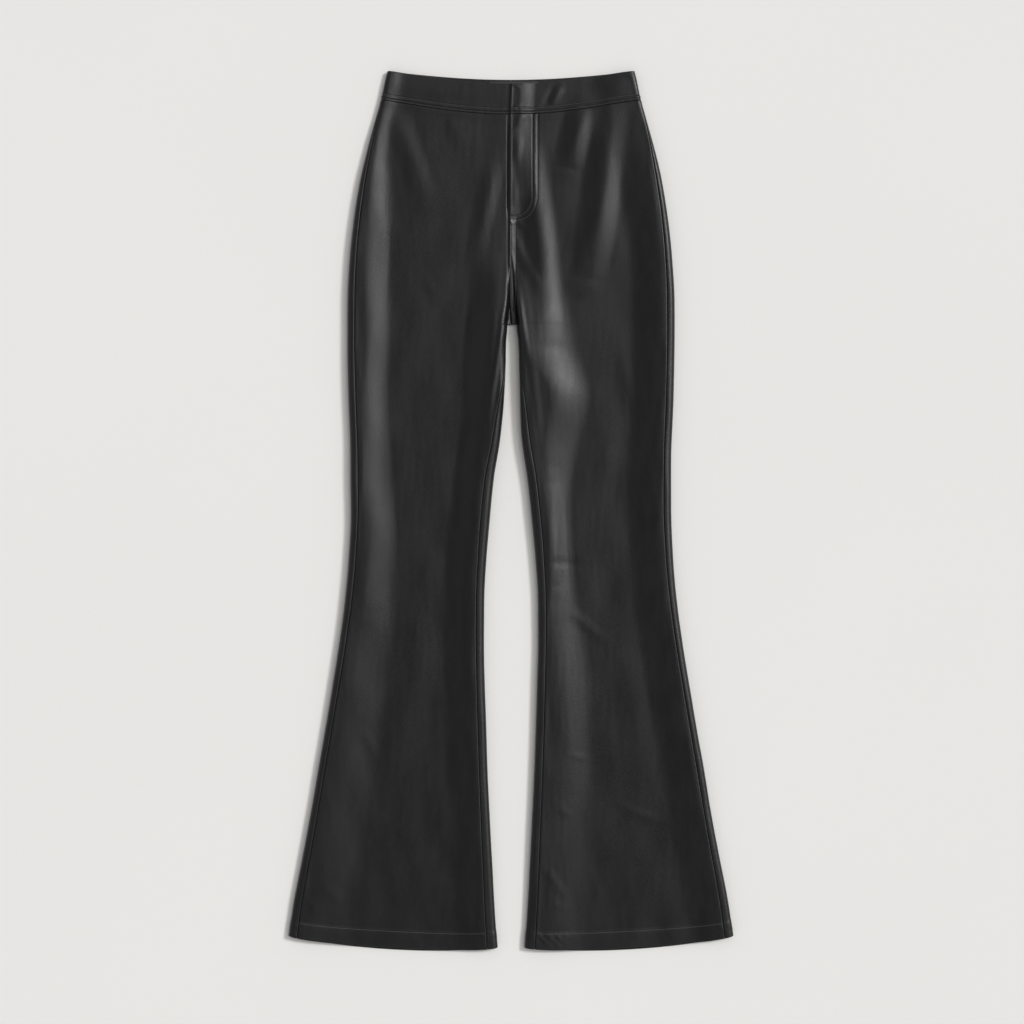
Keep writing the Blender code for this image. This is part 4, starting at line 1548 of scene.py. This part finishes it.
def soften(bm: bmesh.types.BMesh, edges: Sequence[bmesh.types.BMEdge], radius: float, segments: int) -> None:
    """Round edges of a bmesh to a radius in millimetres."""
    bmesh.ops.bevel(
        bm, geom=list(edges), offset=radius * MM, affect="EDGES", segments=segments, profile=0.5, material=-1
    )


@dataclass
class FlyZip:
    """The closed zip behind the fly: its tape in one strip, the teeth, and the slider at the top."""

    form: TrouserForm
    across: tuple[float, float] = (2.0, 24.0)
    span: tuple[float, float] = (394.0, 498.0)
    slack: float = 0.45
    tooth_pitch: float = 1.6
    tooth_size: tuple[float, float, float] = (2.3, 0.9, 0.6)
    slider_size: tuple[float, float, float] = (6.4, 8.2, 0.7)
    pull_size: tuple[float, float, float] = (3.4, 15.0, 0.5)
    teeth_clear: tuple[float, float] = (2.0, 9.0)
    tooth_shift: float = 0.55
    slider_down: float = 6.0
    pull_down: float = 14.0
    pull_lift: float = 0.12
    small_corner: float = 0.2
    slider_corner: float = 0.3
    columns: int = 16
    rows: int = 60

    def top(self, x: np.ndarray, y: float) -> tuple[np.ndarray, np.ndarray]:
        """The place along the garment and the height of the tape's upper face at places x."""
        along = y - self.form.drop(x, y, True)
        return along, self.form.front_height(x, y, Side.LEFT) - self.form.cloth_wall - self.slack

    def build(self, tape: bpy.types.Material, metal: bpy.types.Material) -> bpy.types.Object:
        """Make the zip as one piece of tape and metal."""
        bm = bmesh.new()
        lower = doubled_grid(bm, self.columns, self.rows)
        for vert in bm.verts:
            x = np.array([self.across[0] + (vert.co.x + 0.5) * (self.across[1] - self.across[0])])
            station = self.span[0] + (vert.co.y + 0.5) * (self.span[1] - self.span[0])
            along, height = self.top(x, station)
            down = self.form.zip_wall if vert in lower else 0.0
            vert.co = Vector((x[0], along[0], height[0] - down)) * MM
        bmesh.ops.recalc_face_normals(bm, faces=bm.faces)
        centre = np.array([sum(self.across) / 2])
        first, last = self.span[0] + self.teeth_clear[0], self.span[1] - self.teeth_clear[1]
        for i, station in enumerate(np.arange(first, last, self.tooth_pitch)):
            shift = self.tooth_shift if i % 2 else -self.tooth_shift
            along, height = self.top(centre + shift, station)
            self.bar(bm, (centre[0] + shift, along[0], height[0]), self.tooth_size, self.small_corner)
        along, height = self.top(centre, self.span[1] - self.slider_down)
        self.bar(bm, (centre[0], along[0], height[0]), self.slider_size, self.slider_corner)
        along, height = self.top(centre, self.span[1] - self.pull_down)
        self.bar(bm, (centre[0], along[0], height[0] + self.pull_lift), self.pull_size, self.small_corner)
        piece = new_piece("fly_zip", bm, (tape, metal))
        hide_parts("zip")
        return piece

    def bar(
        self, bm: bmesh.types.BMesh, middle: Sequence[float], size: Sequence[float], corner: float
    ) -> None:
        """Add a small metal bar with rounded edges, half sunk in the tape.

        Args:
            bm: the zip's shape.
            middle: the middle of the bar.
            size: its size along each axis.
            corner: the radius of its edges.
        """
        scale = Matrix.Diagonal((*(value * MM for value in size), 1.0))
        place = Matrix.Translation(Vector(middle) * MM) @ scale
        verts = bmesh.ops.create_cube(bm, size=1.0, matrix=place)["verts"]
        edges = {edge for vert in verts for edge in vert.link_edges}
        for vert in verts:
            for made in vert.link_faces:
                made.material_index = 1
        soften(bm, edges, corner, 1)


@dataclass
class Studio:
    """The floor, the soft light and the camera straight above."""

    floor_radius: float = 30.0
    floor_drop: float = 0.0002
    camera_height: float = 3.2
    view_width: float = 1.3107
    view_middle: tuple[float, float] = (0.00128, -0.0015)
    sensor: float = 36.0
    bearing: float = 25.0
    key: tuple[float, float, float] = (1.62, 12.0, 48.0)
    fill: tuple[float, float, float] = (0.69, 40.0, 30.0)
    sky: tuple[float, float, float, float] = (1.0, 1.0, 1.01, 1.0)
    sky_round: float = 0.5
    sky_overhead: float = 0.22
    overhead_edge: tuple[float, float] = (0.72, 0.93)
    sky_low: float = 0.5
    low_edge: float = 0.3

    def floor(self) -> None:
        """Lay the floor."""
        bm = bmesh.new()
        bmesh.ops.create_circle(bm, cap_ends=True, radius=self.floor_radius, segments=64)
        bmesh.ops.translate(bm, vec=(0.0, 0.0, -self.floor_drop), verts=bm.verts)
        floor = linked("floor", mesh_from("floor", bm, (PaleFloor().material(),)))

    def sun(self, name: str, strength: float, angle: float, tilt: float) -> None:
        """Set a sun that is so wide and tilted so far, in degrees, towards the photograph's upper right."""
        lamp = bpy.data.lights.new(name, "SUN")
        lamp.energy = strength
        lamp.angle = math.radians(angle)
        turn = Matrix.Rotation(math.radians(self.bearing), 4, "Z")
        linked(name, lamp).matrix_world = turn @ Matrix.Rotation(math.radians(tilt), 4, "Y")

    def light(self) -> None:
        """Set a low key, a broad fill above it and a soft sky that is dimmer overhead and near the floor."""
        self.sun("key", *self.key)
        self.sun("soft_fill", *self.fill)
        world = bpy.data.worlds.new("soft_sky")
        world.use_nodes = True
        nodes = NodeTree(world.node_tree)
        direction = nodes.node("ShaderNodeTexCoord", {}, {})
        height = nodes.node("ShaderNodeSeparateXYZ", {}, {0: direction}, output=2)
        overhead = nodes.between(height, *self.overhead_edge, self.sky_round, self.sky_overhead)
        strength = overhead * nodes.between(height, 0.0, self.low_edge, self.sky_low, 1.0)
        background = world.node_tree.nodes["Background"]
        background.inputs["Color"].default_value = self.sky
        world.node_tree.links.new(strength.socket, background.inputs["Strength"])
        bpy.context.scene.world = world
        bpy.context.scene.view_settings.view_transform = "Standard"

    def camera(self) -> None:
        """Hang the camera straight above, so that the frame is as wide as the view at the floor."""
        lens = bpy.data.cameras.new("camera")
        lens.sensor_width = self.sensor
        lens.lens = self.sensor * self.camera_height / self.view_width
        camera = linked("camera", lens)
        camera.location = (*self.view_middle, self.camera_height)
        bpy.context.scene.camera = camera


FOLDS = (
    # the wearer's right side, which is on the left of the view
    Crease((-150, 516), (-128, 455), (-108, 392), 22.0, 1.5, 20.0),
    Crease((-20, 450), (-32, 388), (-46, 325), 18.0, 1.6, 16.0),
    Crease((-75, 505), (-72, 489), (-66, 470), 14.0, 0.5),
    Crease((-112, 305), (-105, 288), (-94, 270), 10.0, 0.25),
    Crease((-165, 395), (-163, 330), (-168, 255), 16.0, 0.7, 8.0),
    Crease((-170, 10), (-176, -60), (-190, -130), 30.0, 1.2),
    Crease((-120, -120), (-128, -230), (-160, -400), 34.0, 0.9),
    Crease((-190, -276), (-182, -294), (-174, -314), 9.0, 0.3),
    Crease((-238, -478), (-227, -490), (-216, -502), 8.0, 0.3),
    Crease((-262, -490), (-254, -503), (-248, -518), 7.0, 0.25),
    Crease((-90, -60), (-104, -78), (-124, -92), 14.0, 0.3),
    Crease((-60, 60), (-78, 20), (-84, -30), 22.0, 0.4),
    # the wearer's left side
    Crease((129, 538), (118, 410), (98, 290), 30.0, 4.8, 26.0),
    Crease((96, 518), (84, 480), (74, 435), 24.0, 4.0, 22.0),
    Crease((19, 480), (38, 355), (51, 200), 24.0, 3.9, 22.0),
    Crease((4, 352), (18, 320), (36, 284), 11.0, 0.9, 10.0),
    Crease((8, 372), (14, 366), (22, 358), 7.0, 0.4),
    Crease((14, 236), (23, 184), (34, 92), 13.0, 0.9, 12.0),
    Crease((142, 204), (148, 170), (150, 134), 14.0, 0.4),
    Crease((124, 90), (122, 50), (114, 6), 18.0, 0.5),
    Crease((166, 54), (176, 28), (188, 2), 10.0, 0.3),
    Crease((52, 40), (54, -30), (58, -100), 20.0, 2.4, 18.0),
    Crease((40, -70), (62, -66), (96, -72), 9.0, -0.4),
    Crease((74, -126), (96, -146), (124, -168), 11.0, 0.5),
    Crease((58, -140), (72, -250), (70, -370), 28.0, 1.0),
    Crease((74, -312), (86, -314), (100, -318), 7.0, 0.25),
    Crease((60, -376), (68, -384), (78, -390), 9.0, 0.25),
    Crease((138, -376), (166, -388), (196, -396), 11.0, 0.4),
    Crease((150, -165), (158, -270), (166, -370), 26.0, 0.7),
    Crease((40, -452), (56, -474), (74, -500), 10.0, 0.35),
    Crease((98, -450), (106, -476), (114, -502), 9.0, 0.2),
    Crease((50, -496), (60, -503), (74, -508), 9.0, 0.25),
    # the fly, which is a little puffed between its sewn rows
    Crease((17, 507), (12, 498), (8, 488), 8.0, 0.8),
    Crease((11, 482), (9, 462), (7, 443), 8.0, 0.8),
    Crease((5, 424), (4.6, 405), (5, 386), 7.0, 0.3),
)

BAND_CREASES = (
    Crease((57, 543), (51, 531), (43, 519), 6.5, -1.2),
    Crease((64, 543), (57, 531), (50, 519), 9.0, 1.5),
    Crease((0, 546.5), (6, 543), (13, 538.5), 4.0, 0.5),
    Crease((-1, 511.5), (6, 515), (13.5, 519.5), 4.0, 0.5),
    Crease((148, 560), (152, 556), (157, 550), 5.0, 0.5),
)

THIGH_EDGES = (
    Crease((-8.0, 262), (-16.5, 199), (-29.0, 118), 6.0, 1.0),
    Crease((9.0, 282), (15.5, 234), (22.5, 190), 6.5, 1.0),
)

UNDER_FOLDS = (
    Crease((-150, 500), (-120, 420), (-96, 330), 16.0, 1.3),
    Crease((140, 505), (116, 430), (100, 350), 16.0, 1.2),
    Crease((-20, 330), (-46, 290), (-80, 262), 13.0, 1.3),
    Crease((18, 335), (44, 296), (74, 270), 13.0, 1.2),
    Crease((-60, 240), (-80, 120), (-72, 20), 18.0, 1.0),
    Crease((70, 230), (88, 110), (80, 10), 18.0, 1.0),
    Crease((-50, -40), (-90, -62), (-150, -50), 12.0, 1.3),
    Crease((48, -58), (96, -40), (160, -66), 12.0, 1.3),
    Crease((-70, -150), (-110, -280), (-130, -430), 20.0, 1.1),
    Crease((84, -140), (120, -290), (150, -440), 20.0, 1.1),
)


def main() -> None:
    """Build the trousers on their frame, the floor, the light and the camera."""
    form = TrouserForm(folds=FOLDS)
    sewing = Sewing(form)
    cutter = Cutter(form, Pattern())
    tailoring = Tailoring(form, sewing)
    leather = FauxLeather().material()
    thread = SewingThread().material()
    steel = HookSteel().material()
    tape = ZIP_TAPE.material()
    label_cloth = LABEL_CLOTH.material()

    cloth = LegPanels(cutter, tailoring, UNDER_FOLDS, THIGH_EDGES).build(leather, BackingCloth().material())
    cloth |= Waistband(cutter, tailoring, BAND_CREASES).build(leather)
    InnerLabel().build(label_cloth, thread)
    FlyZip(form).build(tape, steel)
    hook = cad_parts["waist_hook"]
    hook.data.materials.clear()
    hook.data.materials.append(steel)

    needle = Needlework()
    front = cloth["front_left"]
    needle.sew("fly_stitching", [(row, front) for row in (*sewing.fly(), *sewing.centre_seam())], thread)
    needle.sew("fly_bar_tack", [(sewing.tack(), front)], thread)
    band_work, hem_work = [], []
    for side, is_front, name in cuts():
        band_work += [(row, cloth["waistband_" + name]) for row in sewing.band(side, is_front)]
        hem_work.append((sewing.hem(side, is_front), cloth[name]))
    needle.sew("waistband_stitching", band_work, thread)
    needle.sew("hem_stitching", hem_work, thread)

    studio = Studio()
    studio.floor()
    studio.light()
    studio.camera()


if __name__ == "__main__":
    logging.basicConfig(level=logging.INFO, format="%(name)s: %(message)s")
    main()
